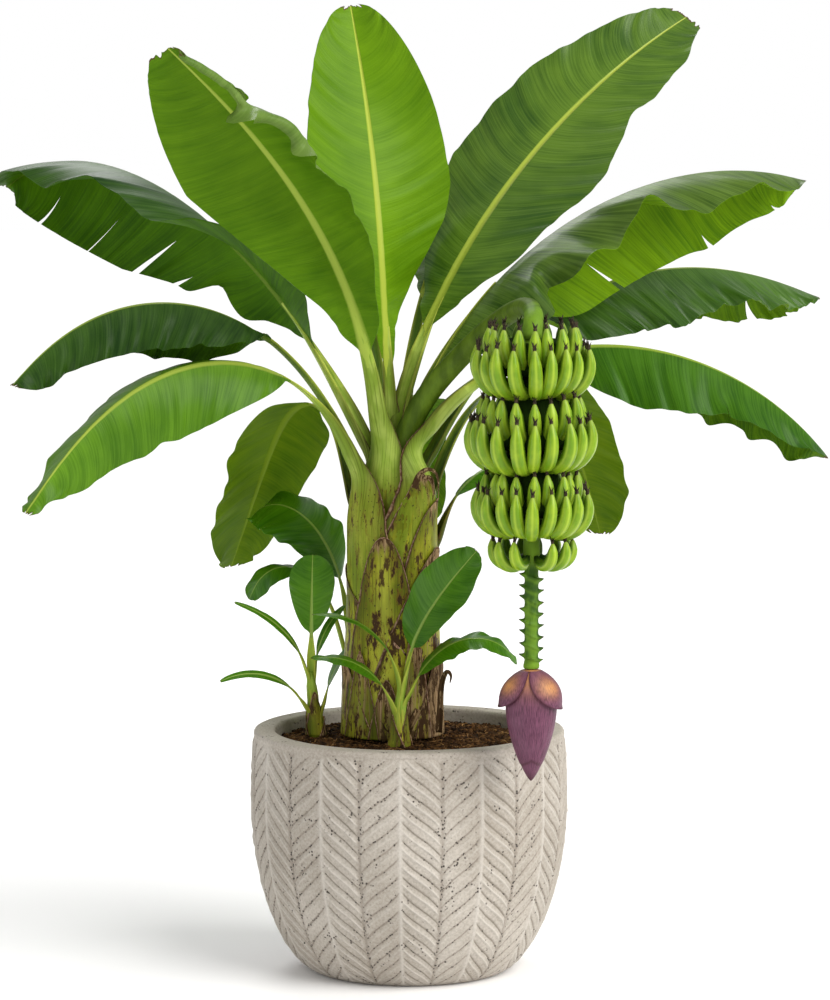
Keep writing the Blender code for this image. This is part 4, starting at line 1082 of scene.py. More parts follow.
def leaf_group():
    """Leaf colours: side veins, lighter towards the midrib, brown tip, another under side."""
    numbers = dict.fromkeys(("Across", "Along", "Under", "Rib", "Tip", "Vein Contrast"), 0.0)
    group = Group("leaf_skin", {**numbers, **dict.fromkeys(LEAF_TONES, (0.1, 0.2, 0.02))},
                  {"Colour": "Color", "Roughness": "Float", "Gloss": "Float", "Height": "Float"})
    given = group.given
    side = group.math("ABSOLUTE", given["Across"])
    fine = group.streaks(given["Across"], given["Along"], 0.8, 260.0, 2.0)
    broad = group.streaks(given["Across"], given["Along"], 1.0, 42.0, 2.0, 0.5)
    blotch = group.noise(group.place(), 6.0, 3.0)
    veins = group.step(fine, 0.34, 0.66)
    shade = group.sway(0.5, veins, given["Vein Contrast"])
    shade = group.sway(shade, group.step(broad, 0.3, 0.7), 0.35)
    shade = group.sway(shade, blotch, 1.6)
    inner = group.math("MULTIPLY_ADD", group.step(side, 0.45, 0.0), 0.25, shade, clamp=True)
    top = group.mix(inner, given["Top"], given["Top Light"])
    below = group.mix(inner, given["Below"], given["Below Light"])
    rib_tone = group.mix(given["Under"], given["Rib Top"], given["Rib Below"])
    body = group.mix(given["Under"], top, below)
    body = group.tint(body, rib_tone, given["Rib"], 0.95)
    ragged = group.sway(group.sway(given["Tip"], blotch, 1.2), fine, 0.9)
    body = group.mix(group.step(ragged, 0.74, 0.95), body, (0.085, 0.045, 0.018))
    dull = group.step(given["Under"], 0.0, 1.0, 1.0, 0.1)
    return group.finish(
        Colour=body,
        Roughness=group.math("MULTIPLY_ADD", given["Under"], 0.14,
                             group.step(veins, 0.0, 1.0, 0.36, 0.44)),
        Gloss=group.times(group.step(veins, 0.0, 1.0, 0.7, 1.0), dull),
        Height=group.times(group.math("ADD", fine, broad),
                           group.math("SUBTRACT", 1.0, given["Rib"])))


def leaf_material(name, contrast, gloss, *tones):
    shader = Shader(name, 0.4, Specular_IOR_Level=0.05, Coat_Roughness=0.3)
    across, along = shader.across_along()
    masks = {mask.capitalize(): shader.mask(mask) for mask in ("under", "rib", "tip")}
    skin = shader.group(LEAF_GROUP, Across=across, Along=along, Vein_Contrast=contrast, **masks,
                        **dict(zip(LEAF_TONES, tones)))
    shader.plug(shader.surface.inputs["Coat Weight"], shader.times(skin["Gloss"], gloss))
    return shader.finish(skin["Colour"], skin["Roughness"], skin["Height"], 0.5, 0.0016)


LEAF_GROUP = leaf_group()
# contrast of the side veins, gloss, then the colours in the order of LEAF_TONES
SKINS = {key: leaf_material("leaf_" + key, *values) for key, values in {
    "young": (0.25, 0.1, (0.072, 0.175, 0.002), (0.135, 0.275, 0.005), (0.06, 0.15, 0.004),
        (0.11, 0.22, 0.01), (0.4, 0.48, 0.06), (0.26, 0.36, 0.04)),
    # broad: its pale greyish upper side, seen where the margin rolls over, is a painted sheen
    "broad": (0.25, 0.12, (0.065, 0.135, 0.015), (0.155, 0.245, 0.05), (0.05, 0.135, 0.002),
        (0.11, 0.235, 0.006), (0.36, 0.44, 0.06), (0.37, 0.48, 0.07)),
    "fresh": (0.35, 0.2, (0.045, 0.13, 0.004), (0.11, 0.25, 0.01), (0.055, 0.14, 0.003),
        (0.12, 0.25, 0.008), (0.34, 0.44, 0.06), (0.24, 0.33, 0.04)),
    # deep and dark: the bright under side is painted light shining through the blade
    "deep": (0.4, 0.5, (0.028, 0.08, 0.005), (0.095, 0.185, 0.012), (0.07, 0.18, 0.001),
        (0.17, 0.33, 0.003), (0.36, 0.44, 0.05), (0.2, 0.3, 0.03)),
    "dark": (0.5, 0.5, (0.02, 0.068, 0.004), (0.06, 0.145, 0.01), (0.055, 0.14, 0.002),
        (0.14, 0.27, 0.004), (0.28, 0.38, 0.05), (0.18, 0.28, 0.03)),
    "shaded": (0.5, 0.2, (0.014, 0.066, 0.001), (0.05, 0.15, 0.004), (0.035, 0.1, 0.001),
        (0.1, 0.21, 0.003), (0.28, 0.38, 0.05), (0.18, 0.28, 0.03)),
    # painted shade: both sides darkened for leaves in shade, the under side most
    "left_gloss": (0.4, 0.15, (0.009, 0.034, 0.004), (0.034, 0.086, 0.009), (0.022, 0.075, 0.001),
        (0.065, 0.17, 0.002), (0.22, 0.3, 0.05), (0.12, 0.2, 0.02)),
    # the bright under side is painted light shining through the blade
    "right_gloss": (0.5, 0.25, (0.02, 0.056, 0.005), (0.105, 0.185, 0.024), (0.072, 0.175, 0.001),
        (0.18, 0.34, 0.003), (0.22, 0.3, 0.05), (0.2, 0.3, 0.03)),
    "hanging": (0.3, 0.2, (0.066, 0.15, 0.004), (0.155, 0.27, 0.01), (0.055, 0.13, 0.002),
        (0.14, 0.24, 0.005), (0.3, 0.4, 0.03), (0.2, 0.3, 0.02)),
    "small": (0.35, 0.4, (0.026, 0.108, 0.001), (0.072, 0.205, 0.003), (0.05, 0.15, 0.001),
        (0.11, 0.25, 0.01), (0.24, 0.36, 0.06), (0.18, 0.3, 0.05)),
}.items()}
SPINES = {key: Spine(frond) for key, frond in {**FRONDS, **SMALL_LEAVES}.items()}


def build_blades():
    for seed, (key, look) in enumerate(LOOKS.items()):
        name = "leaf_" + key
        made = build_blade("blade_" + key, SPINES[key], look, BLADE_ROWS, BLADE_COLUMNS, seed)
        settle(made, SLOTS[name], name)


# ================================================================ stems, leaf sheaths and stalks
# layer: how far the sheath lies out from the stem's radius; low: height of its lower end
# join, run: height where the stalk starts to leave the stem, and how long that takes
# wrap, widen: half-angle of the sheath at the join, and degrees gained per metre under it
# fuller: gain of the free stalk's width, halfway up it
Base = namedtuple("Base", "layer low join run wrap widen fuller", defaults=(0.0,))
BASES = {
    "top": Base(-0.022, 0.94, 1.04, 0.12, 70, 100),
    "upper_left": Base(-0.018, 0.8, 1.02, 0.12, 62, 200),
    "upper_right": Base(-0.016, 0.93, 1.02, 0.13, 70, 200, 0.35),
    "left": Base(-0.012, 0.78, 0.94, 0.14, 46, 200, 0.35),
    "left_middle": Base(-0.004, 0.72, 0.9, 0.14, 34, 200),
    "left_low": Base(0.0055, 0.5, 0.9, 0.16, 52, 120, 0.35),
    "left_hanging": Base(-0.002, 0.6, 0.84, 0.12, 26, 130),
    "right": Base(-0.014, 0.78, 0.96, 0.14, 52, 200),
    "right_middle": Base(-0.006, 0.72, 0.92, 0.14, 38, 200),
    "right_low": Base(0.003, 0.6, 1.0, 0.12, 74, 280, 0.8),
    "right_hanging": Base(-0.003, 0.6, 0.85, 0.12, 26, 130),
    "back_left": Base(-0.008, 0.7, 0.94, 0.14, 44, 200),
    "back_right": Base(-0.006, 0.7, 0.94, 0.14, 44, 200),
    "back_hanging": Base(-0.002, 0.6, 0.86, 0.12, 34, 130),
    "stem_shoot_leaf": Base(-0.001, 0.64, 0.78, 0.1, 18, 90, 1.6),
}
# compass: middle; layer: lift off the stem; low, apex: heights; wrap: half-angle at a depth
# power: how pointed the top is; dry: 0 green to 1 papery; curl: how far the tip turns out
# stain: where its darkest marks are, across it from left to right and down from its tip
Sheath = namedtuple("Sheath", "compass layer low apex wrap depth power dry curl stain",
                    defaults=((0.3, 0.25),))
SHEATHS = {
    "sheath_right": Sheath(-42, 0.0025, 0.5, 1.012, 57, 0.122, 0.62, 0.15, 0.004, (-0.85, 0.06)),
    "sheath_front": Sheath(-100, 0.0078, 0.5, 0.887, 35, 0.13, 0.48, 0.22, 0.003, (-0.22, 0.175)),
    "sheath_left_low": Sheath(-195, 0.006, 0.48, 0.82, 105, 0.14, 0.8, 0.3, 0.002),
    "sheath_right_low": Sheath(-20, 0.007, 0.48, 0.86, 60, 0.123, 0.59, 0.4, 0.003),
    "sheath_right_edge": Sheath(-4, 0.0048, 0.5, 0.955, 57, 0.07, 0.35, 0.12, 0.002, (0.9, 0.16)),
    "sheath_back": Sheath(95, 0.004, 0.48, 0.88, 60, 0.15, 0.6, 0.4, 0.003),
    "sheath_base_left": Sheath(-160, 0.0085, 0.478, 0.64, 48, 0.15, 0.75, 0.38, 0.006),
    "sheath_base_right": Sheath(-18, 0.009, 0.478, 0.665, 44, 0.16, 0.6, 0.66, 0.006),
    "sheath_strip_left": Sheath(-128, 0.01, 0.478, 0.655, 22, 0.15, 0.7, 0.36, 0.005),
    "sheath_strip_middle": Sheath(-96, 0.0094, 0.478, 0.6, 20, 0.11, 0.6, 0.44, 0.004),
    "sheath_strip_right": Sheath(-64, 0.01, 0.478, 0.715, 21, 0.21, 0.65, 0.48, 0.005),
    "sheath_base_back": Sheath(75, 0.008, 0.478, 0.64, 60, 0.15, 0.7, 0.85, 0.006),
}
FLECK_TOP = 0.950               # height over which stalks lose their flecks
FLECK_FADE = 0.10
STAIN_SIZE = (0.22, 0.04)       # of one stain: share across its sheath, and length
MARGIN_WIDTH = 0.0028
STALK_SHEATH_THICKNESS = 0.0035
SHEATH_THICKNESS = 0.0025


def layer_radius(stem, height, layer):
    """Radius of a layer of the stem, which draws in over its top."""
    crown = smoothstep((height - stem.top + 0.05) / 0.13)
    return (stem_radius(stem, height) + layer) * (1 - 0.36 * crown)


def on_stem(stem, heights, angles, radii):
    """Points round a stem's axis, for rows of heights and columns of angles."""
    lean = stem.x + stem.lean_x * stem_share(stem, heights)
    x = lean[:, None] + radii * np.cos(angles)
    y = stem.y + radii * np.sin(angles)
    return np.stack([x, y, np.broadcast_to(heights[:, None], x.shape)], -1)


def section_places(outer, inner):
    """Places across a sheath or stalk: over its outside from right to left, then back inside."""
    return np.linspace(1.0, -1.0, outer), np.linspace(-1.0, 1.0, inner + 2)[1:-1]


def sheath_rings(stem, heights, compass, wraps, layer, thick, seed):
    """Rings of a curved sheath that lies on a stem, with slightly wavy margins."""
    over, within = section_places(23, 15)
    heading = math.radians(compass)
    radius = layer_radius(stem, heights, layer)[:, None]
    ripple = 0.0011 * waves(heights, seed, (0.13, 0.052, 0.021), (0.5, 0.3, 0.2))[:, None]
    outer_radius = radius + ripple * np.abs(over) ** 3 + 0.0006 * np.abs(over) ** 6
    ridges = 0.0007 * waves(over * 9.0 + heights[:, None] * 0.6, seed + 7, (3.1, 1.7), (0.5, 0.5))
    outer_radius = outer_radius + ridges * (1 - over ** 4)
    inner_radius = radius + ripple * np.abs(within) ** 3 - thick * (1 - 0.8 * within ** 2)
    outside = on_stem(stem, heights, heading - over * wraps[:, None], outer_radius)
    inside = on_stem(stem, heights, heading - within * wraps[:, None], inner_radius)
    return outside, inside, over, within


def margin_masks(over, within, widths):
    """Places across a whole ring, and how close each is to the margin: 1 at it, 0 far off."""
    across = np.concatenate([over, within])
    from_edge = (1 - np.abs(across))[None, :] * widths[:, None]
    return across, np.exp(-from_edge / MARGIN_WIDTH)


def stalk_section(spine, distances, over, within, fuller):
    """Rings of a free stalk: rounded outside, channelled inside, with thin raised margins."""
    frond = spine.frond
    along = np.maximum(distances, 0.0)
    centre = spine.point(along) + spine.tangent(np.zeros(1)) * np.minimum(distances, 0.0)[:, None]
    side, up = spine.frame(along)
    swell = 1 + fuller * np.sin(math.pi * unit(distances / frond.stalk)) ** 1.5
    half = (spine.stalk_half(along) * swell)[:, None]
    wing = (1 - unit(distances / frond.stalk))[:, None]
    turn = np.radians(90 + 30 * wing)
    x, y = half * np.sin(over * turn), -STALK_THICKNESS * half * np.cos(over * turn)
    edge_x, edge_y = half * np.sin(turn), -STALK_THICKNESS * half * np.cos(turn)
    inner_x = edge_x * within * 0.97
    inner_y = edge_y - half * (0.30 + 0.22 * wing) * (1 - within ** 2)
    place = centre[:, None, :]
    outside = place + side[:, None] * x[..., None] + up[:, None] * y[..., None]
    inside = place + side[:, None] * inner_x[..., None] + up[:, None] * inner_y[..., None]
    return outside, inside


def build_stalk(name, spine, base, material, stations, seed, young=False):
    """Leaf stalk in one piece with the sheath it grows from; a young one has green margins."""
    frond = spine.frond
    stem = STEMS[frond.stem]
    foot = frond.foot[1]
    distances = np.linspace(base.low - foot, frond.stalk * 1.01, stations)
    heights = foot + distances
    wraps = np.radians(np.minimum(150, base.wrap + base.widen * np.maximum(0, base.join - heights)))
    outside, inside, over, within = sheath_rings(stem, heights, frond.compass, wraps, base.layer,
                                                 STALK_SHEATH_THICKNESS, seed)
    free_out, free_in = stalk_section(spine, distances, over, within, base.fuller)
    leave = smoothstep((heights - base.join) / base.run)
    weight = leave[:, None, None]
    rings = np.concatenate([outside + (free_out - outside) * weight,
                            inside + (free_in - inside) * weight], 1)
    half = spine.stalk_half(np.maximum(distances, 0.0))
    widths = (1 - leave) * wraps * stem.top_radius + leave * half * 1.4
    across, margin = margin_masks(over, within, widths)
    age = (1 - smoothstep((heights - base.join - 0.03) / (base.run * 1.6))) * (not young)
    fleck_top = SOIL_LEVEL if young else FLECK_TOP
    fleck = (1 - smoothstep((heights - fleck_top) / FLECK_FADE))[:, None]
    return ring_mesh(name, rings, across * widths[:, None], (distances + seed)[:, None], material,
                     margin=margin * age[:, None], pale=margin * (1 - age)[:, None], fleck=fleck,
                     dry=0)


def build_sheath(name, stem, sheath, material, seed):
    """Old leaf base that wraps the stem and ends in a point, its margins dried brown."""
    steps = np.linspace(0.0, 1.0, 90)
    heights = sheath.low + (sheath.apex - sheath.low) * (1 - (1 - steps) ** 1.7)
    drop = sheath.apex - heights
    wraps = np.radians(np.clip(sheath.wrap * (drop / sheath.depth) ** sheath.power, 1.5, 140))
    widths = wraps * stem.top_radius
    outside, inside, over, within = sheath_rings(stem, heights, sheath.compass, wraps,
                                                 sheath.layer, SHEATH_THICKNESS, seed)
    across, margin = margin_masks(over, within, widths)
    rings = np.concatenate([outside, inside], 1)
    outward = rings - (stem.x, stem.y, 0.0)
    outward[..., 2] = 0
    outward /= np.linalg.norm(outward, axis=-1, keepdims=True)
    lift = sheath.curl * np.exp(-drop / 0.02)[:, None] + 0.0015 * margin * (0.4 + sheath.dry)
    rings = rings + outward * lift[..., None]
    dry = unit(sheath.dry + 0.6 * np.exp(-drop / 0.03))
    chance = np.random.default_rng(seed)
    stains = [sheath.stain] + [(chance.uniform(-0.8, 0.8), chance.uniform(0.10, 0.33))
                               for _ in range(2)]
    fleck = np.ones(margin.shape)
    for aside, below in stains:
        fleck += bell(across + aside, STAIN_SIZE[0]) * bell(drop - below, STAIN_SIZE[1])[:, None]
    return ring_mesh(name, rings, across * widths[:, None], (heights + seed)[:, None], material,
                     margin=np.maximum(margin, np.exp(-drop / 0.006)[:, None]),
                     # a painted highlight down the middle of the sheath, less where it is dry
                     pale=bell(across, 0.30) * (0.75 - 0.75 * dry)[:, None],
                     fleck=fleck, dry=dry[:, None])


def smooth_path(points, count):
    """Points along a smooth curve through the given ones."""
    points = np.array(points, dtype=float)
    padded = np.vstack([2 * points[0] - points[1], points, 2 * points[-1] - points[-2]])
    made = []
    for place in np.linspace(0.0, len(points) - 1.0001, count):
        start = int(place)
        t = place - start
        a, b, c, d = padded[start:start + 4]
        made.append(0.5 * (2 * b + (c - a) * t + (2 * a - 5 * b + 4 * c - d) * t * t
                           + (3 * b - a - 3 * c + d) * t ** 3))
    return np.array(made)


def build_ribbon(name, path, width, facing, twist, material):
    """Papery strip along a path, narrowing to its end, its edges curled in."""
    centre = smooth_path(path, 40)
    along = np.gradient(centre, axis=0)
    along /= np.linalg.norm(along, axis=1, keepdims=True)
    side = np.cross(along, np.array(facing, dtype=float))
    side /= np.linalg.norm(side, axis=1, keepdims=True)
    up = np.cross(side, along)
    turn = np.linspace(0.0, twist, len(centre))[:, None]
    side, up = turned(side, up, turn)
    share = np.linspace(0.0, 1.0, len(centre))
    half = width * 0.5 * (1 - share ** 2.2) ** 0.7 + 0.0006
    over, within = section_places(9, 7)
    across = np.concatenate([over, within])
    lift = np.concatenate([-0.45 * over ** 2, -0.45 * within ** 2])[None, :] * half[:, None]
    lift[:, 9:] += 0.0007
    rings = centre[:, None] + side[:, None] * (across[None] * half[:, None])[..., None] \
        - up[:, None] * lift[..., None]
    return ring_mesh(name, rings, across * half[:, None], share[:, None] * 0.1, material,
                     margin=0.35, pale=0, fleck=1, dry=1)


def sheath_group():
    """Streaked green stalk or sheath with dark flecks, dried margins and papery patches."""
    group = Group("sheath_skin", {"Margin": 0.0, "Pale": 0.0, "Fleck": 0.0, "Dry": 0.0,
                                  "Across": 0.0, "Along": 0.0, "Shadow": (0.1, 0.15, 0.02),
                                  "Green": (0.2, 0.3, 0.05), "Light": (0.4, 0.5, 0.1),
                                  "Aged": (1.0, 1.0, 1.0)},
                  {"Colour": "Color", "Roughness": "Float", "Height": "Float"})
    given = group.given
    streak = group.streaks(given["Across"], given["Along"], 330.0, 7.0)
    cloud = group.noise(group.place((24.0, 24.0, 9.0)), 1.0, 3.0)
    patch = group.noise(group.place((90.0, 90.0, 30.0)), 1.0, 4.0, 0.68)
    speck = group.noise(group.place((230.0, 230.0, 150.0)), 1.0, 2.0, 0.5)
    strip = group.noise(group.place((95.0, 95.0, 6.0)), 1.0, 3.0, 0.6)
    tone = group.mix(group.step(cloud, 0.36, 0.64), given["Green"], given["Light"])
    tone = group.tint(tone, given["Shadow"], group.step(streak, 0.50, 0.66), 0.75)
    # on an old sheath Pale is a painted highlight down its middle; on a young stalk it is its real pale
    # margin
    tone = group.tint(tone, (0.48, 0.50, 0.07), given["Pale"], 0.8)
    # darker and yellower where a stalk wraps the stem
    tone = group.mix(given["Fleck"], tone, group.mix(1.0, tone, given["Aged"], "MULTIPLY"))
    # partly painted shade beside the lapping margins, partly brown staining
    beside = group.math("POWER", given["Margin"], 0.17)
    beside = group.times(beside, group.step(streak, 0.25, 0.60, 0.65, 1.0))
    tone = group.mix(beside, tone, (0.048, 0.050, 0.005))
    # in this group the field places the rust and the dark blotches, real stains
    worn = group.math("MULTIPLY_ADD", given["Dry"], 0.16, patch)
    worn = group.sway(worn, cloud, 0.45)
    worn = group.math("MULTIPLY_ADD", group.math("SUBTRACT", given["Fleck"], 1.0), 0.10, worn)
    rust = group.times(group.step(worn, 0.52, 0.64), given["Fleck"])
    tone = group.tint(tone, (0.155, 0.085, 0.012), rust, 0.55)
    blotch = group.times(group.step(worn, 0.60, 0.66), given["Fleck"])
    dots = group.times(group.step(speck, 0.66, 0.72), given["Fleck"])
    papery = group.mix(group.step(streak, 0.35, 0.62), (0.12, 0.066, 0.026), (0.40, 0.27, 0.14))
    dryness = group.step(group.math("MULTIPLY_ADD", strip, 0.9, given["Dry"]), 0.84, 1.06)
    tone = group.mix(dryness, tone, papery)
    tone = group.tint(tone, (0.045, 0.022, 0.007), blotch, 0.9)
    tone = group.mix(dots, tone, (0.030, 0.018, 0.010))
    rough_edge = group.sway(given["Margin"], patch, 0.8)
    edge_tone = group.mix(group.step(rough_edge, 0.55, 0.85), (0.060, 0.026, 0.014),
                          group.mix(group.step(speck, 0.4, 0.6), (0.22, 0.11, 0.06),
                                    (0.44, 0.29, 0.18)))
    tone = group.mix(group.step(rough_edge, 0.40, 0.52), tone, edge_tone)
    return group.finish(Colour=tone, Roughness=group.step(dryness, 0.0, 1.0, 0.42, 0.8),
                        Height=group.math("MULTIPLY_ADD", streak, 0.8, group.times(blotch, -0.6)))


def sheath_material(name, *tones):
    shader = Shader(name, 0.5, Specular_IOR_Level=0.1)
    across, along = shader.across_along()
    masks = {mask.capitalize(): shader.mask(mask) for mask in ("margin", "pale", "fleck", "dry")}
    skin = shader.group(SHEATH_GROUP, Across=across, Along=along, **masks,
                        **dict(zip(("Shadow", "Green", "Light", "Aged"), tones)))
    return shader.finish(skin["Colour"], skin["Roughness"], skin["Height"], 0.5, 0.0012)


SHEATH_GROUP = sheath_group()
# dark streaks, green, lit green, and how all of them darken and yellow near the stem
# light and shaded are lit and shaded copies of one stalk: painted light and painted shade
STALKS = {key: sheath_material("sheath_" + key, *tones) for key, tones in {
    "light": ((0.14, 0.22, 0.02), (0.24, 0.37, 0.035), (0.42, 0.54, 0.1), (0.68, 0.6, 0.3)),
    "shaded": ((0.035, 0.07, 0.008), (0.07, 0.14, 0.014), (0.16, 0.25, 0.03), (0.8, 0.72, 0.5)),
    "stem": ((0.045, 0.055, 0.003), (0.145, 0.175, 0.005), (0.37, 0.38, 0.02)),
    "small": ((0.12, 0.2, 0.016), (0.2, 0.33, 0.026), (0.36, 0.5, 0.07), (0.95, 0.75, 0.45)),
}.items()}
# these stalks get the shaded copy, painted shade for stalks that hang in shade
SHADED_STALKS = ("left_middle", "left_hanging", "right", "right_middle", "right_hanging",
                 "back_left", "back_right", "back_hanging", "stem_shoot_leaf")


# dried strips of old sheath: where each runs, from its root to its curled end
Strip = namedtuple("Strip", "path width facing twist")
STRIPS = (
    Strip(((0.01, -0.074, 0.985), (0.021, -0.074, 1.01), (0.037, -0.072, 1.021), (0.052, -0.066, 1.014),
        (0.058, -0.062, 0.99), (0.059, -0.063, 0.965)), 0.012, (0, -1, 0.3), 1.6),
    Strip(((0.03, -0.072, 1.0), (0.038, -0.07, 1.006), (0.046, -0.066, 1.0), (0.05, -0.062, 0.978),
        (0.047, -0.062, 0.96)), 0.009, (0, -1, 0.6), -1.2),
    Strip(((0.06, -0.06, 0.49), (0.063, -0.066, 0.54), (0.066, -0.068, 0.585), (0.075, -0.066, 0.612),
        (0.083, -0.062, 0.606), (0.082, -0.06, 0.59)), 0.012, (0, -1, 0.1), 0.9),
    Strip(((-0.062, -0.062, 0.56), (-0.052, -0.074, 0.524), (-0.04, -0.084, 0.496), (-0.03, -0.092, 0.486)),
        0.02, (0, -1, 0.4), 0.8),
    Strip(((0.02, -0.085, 0.54), (0.006, -0.092, 0.512), (-0.002, -0.096, 0.49), (0.008, -0.1, 0.482)),
        0.016, (0, -1, 0.4), -0.8),
    Strip(((-0.102, -0.03, 0.482), (-0.103, -0.032, 0.52), (-0.104, -0.032, 0.552)), 0.016, (0, -1, 0.0),
        0.4),
)


def build_core(name, material):
    """Solid middle of the stem, covered by the sheaths."""
    stem = STEMS[name]
    heights = np.linspace(SOIL_LEVEL - 0.010, stem.top - 0.01, 40)
    angles = spokes(72)
    ripple = 0.0012 * waves(angles * 0.5 + heights[:, None] * 0.3, 3, (0.9, 0.31), (0.6, 0.4))
    closing = np.sqrt(unit(1 - smoothstep((heights - stem.top + 0.02) / 0.06) * 0.6))
    radius = (layer_radius(stem, heights, -0.018) * closing)[:, None] + ripple
    rings = on_stem(stem, heights, angles, radius)
    dry = 1 - smoothstep((heights - 0.5) / 0.1)[:, None] * 0.7
    made = ring_mesh("stem_core", rings, angles * stem.top_radius, heights[:, None], material,
                     margin=0, pale=0, fleck=1, dry=dry)
    settle(made, SLOTS[name], name)


def build_stems():
    build_core(MAIN, STALKS["stem"])
    for seed, (key, base) in enumerate(BASES.items()):
        finish = STALKS["shaded" if key in SHADED_STALKS else "light"]
        made = build_stalk("petiole_" + key, SPINES[key], base, finish, 100, seed)
        nodes = ["stalk_" + key] if key in FRONDS else []
        settle(made, "stalk_green", *nodes)
    for number, strip in enumerate(STRIPS):
        made = build_ribbon("dry_strip_%d" % number, *strip, STALKS["stem"])
        settle(made, "sheath_dry")
    for seed, (key, sheath) in enumerate(SHEATHS.items()):
        made = build_sheath("old_" + key, STEMS[MAIN], sheath, STALKS["stem"], seed + 30)
        settle(made, "sheath_dry", *([key] if key in SLOTS else []))


# ================================================================ suckers round the stem
# old sheaths at each sucker's foot: compass, height of the tip, half-angle round the stem
SHOOT_SHEATHS = ((-60, 0.560, 95), (120, 0.535, 105), (10, 0.508, 110))
SLIM = ((1, 0.65, 0.50, -0.35, 0.0), (-1, 0.65, 0.50, -0.35, 0.0))
SMALL_LOOKS = {
    "stem_shoot_leaf": Look("small", (0.003, 0.6)),
    "sucker_leaf_back_large": Look("small", (0.009, 0.7), slits=((-1, 0.55, 0.5, 0.006),),
                                   edits=((-1, 0.60, 0.08, 0.14, 0.0), (1, 0.55, 0.10, -0.10, 0.0))),
    "sucker_leaf_back_small": Look("small", (0.003, 0.6)),
    "sucker_leaf_left_oval": Look("small", (0.004, 0.5)),
    "sucker_leaf_left_high": Look("small", (0.006, 0.4), edits=SLIM),
    "sucker_leaf_left_low": Look("small", (0.006, 0.4), edits=SLIM),
    "sucker_leaf_left_dark": Look("small", (0.002, 0.6)),
    "sucker_leaf_left_small": Look("small", (0.002, 0.6)),
    "sucker_leaf_front_oval": Look("small", (0.005, 0.6)),
    "sucker_leaf_front_right": Look("small", (0.006, 0.5)),
    "sucker_leaf_front_high": Look("small", (0.003, 0.6)),
    "sucker_leaf_front_low": Look("small", (0.003, 0.6)),
}


def build_suckers():
    for seed, (key, look) in enumerate(SMALL_LOOKS.items()):
        spine = SPINES[key]
        frond = spine.frond
        rows = 64 if frond.half > 0.05 else 44
        made = build_blade("small_" + key, spine, look, rows, 10, seed + 20)
        settle(made, SLOTS[key], key)
        if frond.stem != MAIN:
            foot = frond.foot[1]
            base = Base(0.0006 * (seed % 4), max(SOIL_LEVEL + 0.002, foot - 0.09), foot - 0.02,
                        0.06, 70, 500, 1.0)
            made = build_stalk("small_stalk_" + key, spine, base, STALKS["small"], 60, seed + 20,
                               True)
            settle(made, "stalk_green")
    for seed, name in enumerate((LEFT, FRONT, BACK)):
        stem = STEMS[name]
        heights = np.linspace(SOIL_LEVEL - 0.008, stem.top, 30)
        angles = spokes(32)
        tip = smoothstep((stem.top - heights) / 0.03)
        ripple = 0.0006 * waves(angles * 0.5 + heights[:, None], seed, (0.9, 0.4), (0.6, 0.4))
        radius = (stem_radius(stem, heights) * (0.45 + 0.5 * tip))[:, None] + ripple
        rings = on_stem(stem, heights, angles, radius)
        foot = 1 - smoothstep((heights - 0.49) / 0.05)[:, None]
        made = ring_mesh("shoot_core_" + name, rings, angles * 0.015, heights[:, None] + seed,
                         STALKS["small"], margin=0, pale=0, fleck=foot, dry=foot * 0.35)
        settle(made, SLOTS[name], name)
        for layer, (turn, apex, wrap) in enumerate(SHOOT_SHEATHS):
            sheath = Sheath(turn + 70 * seed, 0.0012 + 0.0009 * layer, SOIL_LEVEL - 0.004, apex,
                            wrap, 0.06, 0.6, 0.05 + 0.25 * (layer == 2), 0.001)
            made = build_sheath("shoot_sheath_%d_%s" % (layer, name), stem, sheath,
                                STALKS["small"], seed * 5 + layer)
            settle(made, "stalk_green")


# ================================================================ fruit bunch
BUNCH_X = 0.238
BUNCH_Y = -0.340
RACHIS_RADIUS = 0.0165          # of the bunch's stalk between the hands
BARE_RADIUS = 0.0134            # and of its bare end under them
BARE_TOP, BARE_RUN = 0.878, 0.024
RACHIS_FOOT = 0.662
SCARS, SCAR_PITCH, SCAR_FOOT = 8, 0.0226, 0.682     # rings left by fallen bracts
HORN = 0.0092                   # how far a scar's horns stand out
# level: height of the lower row's arc centre; arc: its radius; reach: outer radius of the hand
# finger: a finger's radius; lower, upper: fingers in each row; lift: upper row over the lower
# missing: fingers left out at the front, where the stalk shows
Hand = namedtuple("Hand", "level arc reach finger lower upper lift missing")
HANDS = (
    Hand(1.261, 0.060, 0.126, 0.0142, 20, 18, 0.041, 0),
    Hand(1.118, 0.060, 0.130, 0.0143, 20, 18, 0.046, 0),
    Hand(0.984, 0.054, 0.122, 0.0139, 20, 18, 0.038, 0),
    Hand(0.900, 0.033, 0.090, 0.0122, 13, 0, 0.000, 1),
)
ARC_END = 25                    # degrees past level at which a finger's arc stops
TIP_BEND = 0.3                  # share of its bend that a finger keeps past level
FRONT_COMPASS = 272             # heading of the missing fingers
CUP_DEPTH = 2.2                 # finger radii from a finger's middle back to its collar
PEDICEL_ROOT = 0.017            # distance from the bunch stalk's axis where a finger starts
UPPER_ROW_INSET = 0.021
UPPER_ROW_ARC = 0.92
# share of a finger's length, and its girth there over its full girth
FINGER_GIRTH = ((0.0, 0.42), (0.08, 0.60), (0.18, 0.86), (0.30, 0.98), (0.50, 1.02),
                (0.70, 0.98), (0.84, 0.84), (0.93, 0.58), (0.97, 0.40), (1.0, 0.32))


def bunch_rings(angles, radius, heights):
    """Rings round the axis of the bunch."""
    return np.stack(np.broadcast_arrays(BUNCH_X + radius * np.cos(angles),
                                        BUNCH_Y + radius * np.sin(angles), heights), -1)


